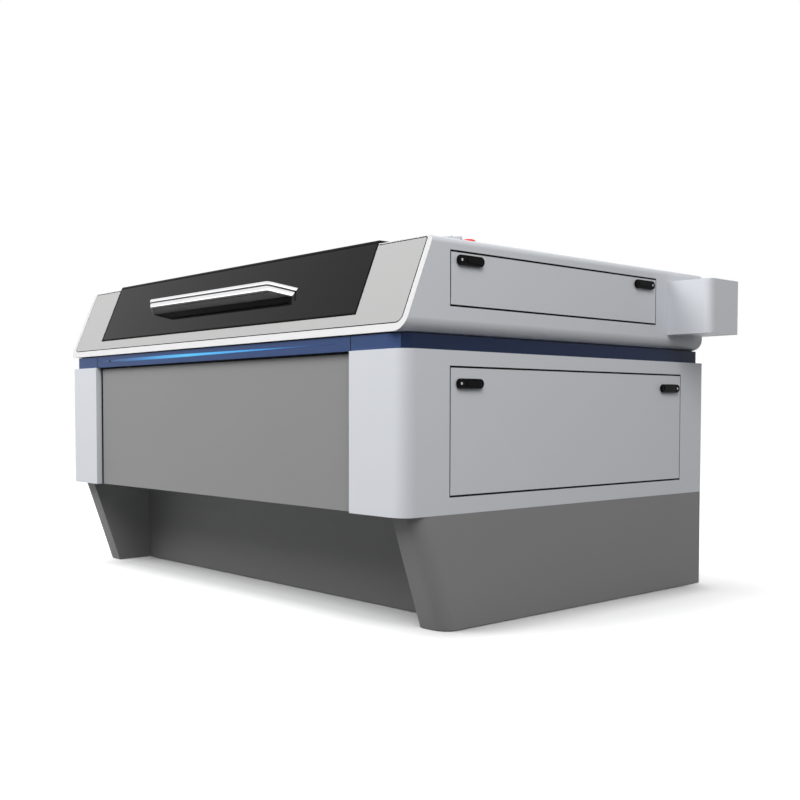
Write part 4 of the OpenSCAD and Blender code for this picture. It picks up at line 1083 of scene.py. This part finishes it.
fingers = row_of(on_plate("finger", (0.004, 0.050, 0.2365), (0.034, 0.0565, 0.2380)), 63, 0.0125)
duct = [
    on_plate("duct", (0.0018, 0.048, 0.2365), (0.004, 0.833, 0.2755)),
    on_plate("duct_lid", (0.034, 0.047, 0.2350), (0.0365, 0.834, 0.2770), 0.0008),
    fingers,
    another(fingers, (0, 0, 0.0375)),
]
fitted(duct, "wiring_duct", moulded("duct_grey", (0.36, 0.37, 0.38), 0.5))

# ------------------------------------------------------------ studio
# A pale floor, a bright surround and three large soft lamps: high in front on
# the left, on the right, and a weak one behind. The camera is held low, off
# the machine's front right corner.
bpy.ops.object.select_all(action="DESELECT")
bpy.ops.mesh.primitive_plane_add(size=60, location=(0, 0, 0))
floor = bpy.context.object
floor.name = "floor"
floor_white, tree, shader = new_material("floor_white")
shader.inputs["Roughness"].default_value = 0.9
shader.inputs["Specular IOR Level"].default_value = 0.0


def seen_directly(tree):
    """1 for rays from the eye, and for what metal and glass show; else 0."""
    path = tree.nodes.new("ShaderNodeLightPath")
    value = path.outputs["Is Camera Ray"]
    for ray in ("Is Glossy Ray", "Is Transmission Ray"):
        either = tree.nodes.new("ShaderNodeMath")
        either.operation = "MAXIMUM"
        tree.links.new(value, either.inputs[0])
        tree.links.new(path.outputs[ray], either.inputs[1])
        value = either.outputs[0]
    return value


def scaled(tree, value, low, high):
    spread = tree.nodes.new("ShaderNodeMapRange")
    spread.inputs["To Min"].default_value = low
    spread.inputs["To Max"].default_value = high
    tree.links.new(value, spread.inputs["Value"])
    return spread.outputs["Result"]


seen = seen_directly(tree)
tree.links.new(between(tree, seen, (0.06, 0.06, 0.06), (0.72, 0.72, 0.72)), shader.inputs["Base Color"])
# away from the machine the floor glows, so its shadow stays near its foot
place = tree.nodes.new("ShaderNodeTexCoord")
away = place.outputs["Object"]
footprint = (0.85, 0.55, 9)
for step, amount in (
    ("ABSOLUTE", None), ("SUBTRACT", footprint), ("MAXIMUM", (0, 0, 0)), ("LENGTH", None)
):
    vector = tree.nodes.new("ShaderNodeVectorMath")
    vector.operation = step
    tree.links.new(away, vector.inputs[0])
    if amount:
        vector.inputs[1].default_value = amount
    away = vector.outputs["Value" if step == "LENGTH" else "Vector"]
glow = tree.nodes.new("ShaderNodeValToRGB")
glow.color_ramp.elements[0].color = (0, 0, 0, 1)
glow.color_ramp.elements[0].position = 0.03
glow.color_ramp.elements[1].color = (0.8, 0.8, 0.8, 1)
for at, level in ((0.15, 0.36), (0.45, 0.64)):
    glow.color_ramp.elements.new(at).color = (level, level, level, 1)
tree.links.new(away, glow.inputs["Fac"])
shine = tree.nodes.new("ShaderNodeMath")
shine.operation = "MULTIPLY"
tree.links.new(glow.outputs["Color"], shine.inputs[0])
tree.links.new(seen, shine.inputs[1])
shader.inputs["Emission Color"].default_value = (1, 1, 1, 1)
tree.links.new(shine.outputs[0], shader.inputs["Emission Strength"])
floor.data.materials.append(floor_white)

world = bpy.data.worlds.new("surround")
bpy.context.scene.world = world
world.use_nodes = True
tree = world.node_tree
sky = tree.nodes["Background"]
sky.inputs["Color"].default_value = (1, 1, 1, 1)
# the surround lights the machine most from halfway up and least from overhead
place = tree.nodes.new("ShaderNodeTexCoord")
upward = tree.nodes.new("ShaderNodeSeparateXYZ")
tree.links.new(place.outputs["Generated"], upward.inputs["Vector"])
band = tree.nodes.new("ShaderNodeFloatCurve")
curve = band.mapping.curves[0]
curve.points[0].location = (0, 0.27)
curve.points[1].location = (1, 0.15)
for at, level in ((0.25, 0.54), (0.5, 0.58), (0.75, 0.40)):
    curve.points.new(at, level)
band.mapping.update()
tree.links.new(upward.outputs["Z"], band.inputs["Value"])
overhead = scaled(tree, band.outputs["Value"], 0.0, 0.85)
mix = tree.nodes.new("ShaderNodeMix")
mix.inputs["B"].default_value = 1.0
tree.links.new(seen_directly(tree), mix.inputs["Factor"])
tree.links.new(overhead, mix.inputs["A"])
tree.links.new(mix.outputs["Result"], sky.inputs["Strength"])


def soft_lamp(name, place, aim, power):
    """A square lamp, 3 m across, that lights but isn't itself seen."""
    data = bpy.data.lights.new(name, "AREA")
    data.shape = "RECTANGLE"
    data.size = 3.0
    data.size_y = 3.0
    data.energy = power
    lamp = bpy.data.objects.new(name, data)
    bpy.context.scene.collection.objects.link(lamp)
    lamp.location = place
    lamp.rotation_euler = (Vector(aim) - Vector(place)).to_track_quat("-Z", "Y").to_euler()
    lamp.visible_glossy = False
    lamp.visible_camera = False


soft_lamp("key", (-1.53, -4.09, 4.28), (0, -0.3, 0.6), 243)
soft_lamp("fill", (3.68, -2.60, 3.99), (0, -0.3, 0.6), 150)
soft_lamp("back", (-1.9, 5.2, 2.3), (0, 0.3, 0.6), 83)

eye = bpy.data.cameras.new("eye")
eye.lens = 46.89
eye.sensor_width = 36
eye.shift_x = 0.0625
eye.shift_y = 0.0621
camera = bpy.data.objects.new("eye", eye)
bpy.context.scene.collection.objects.link(camera)
camera.location = (2.8085, -2.5615, 0.597)
heading, dip = 0.8635, -0.0381
camera.rotation_euler = (math.pi / 2 + dip, 0, heading)
bpy.context.scene.camera = camera
bpy.context.scene.view_settings.view_transform = "Standard"
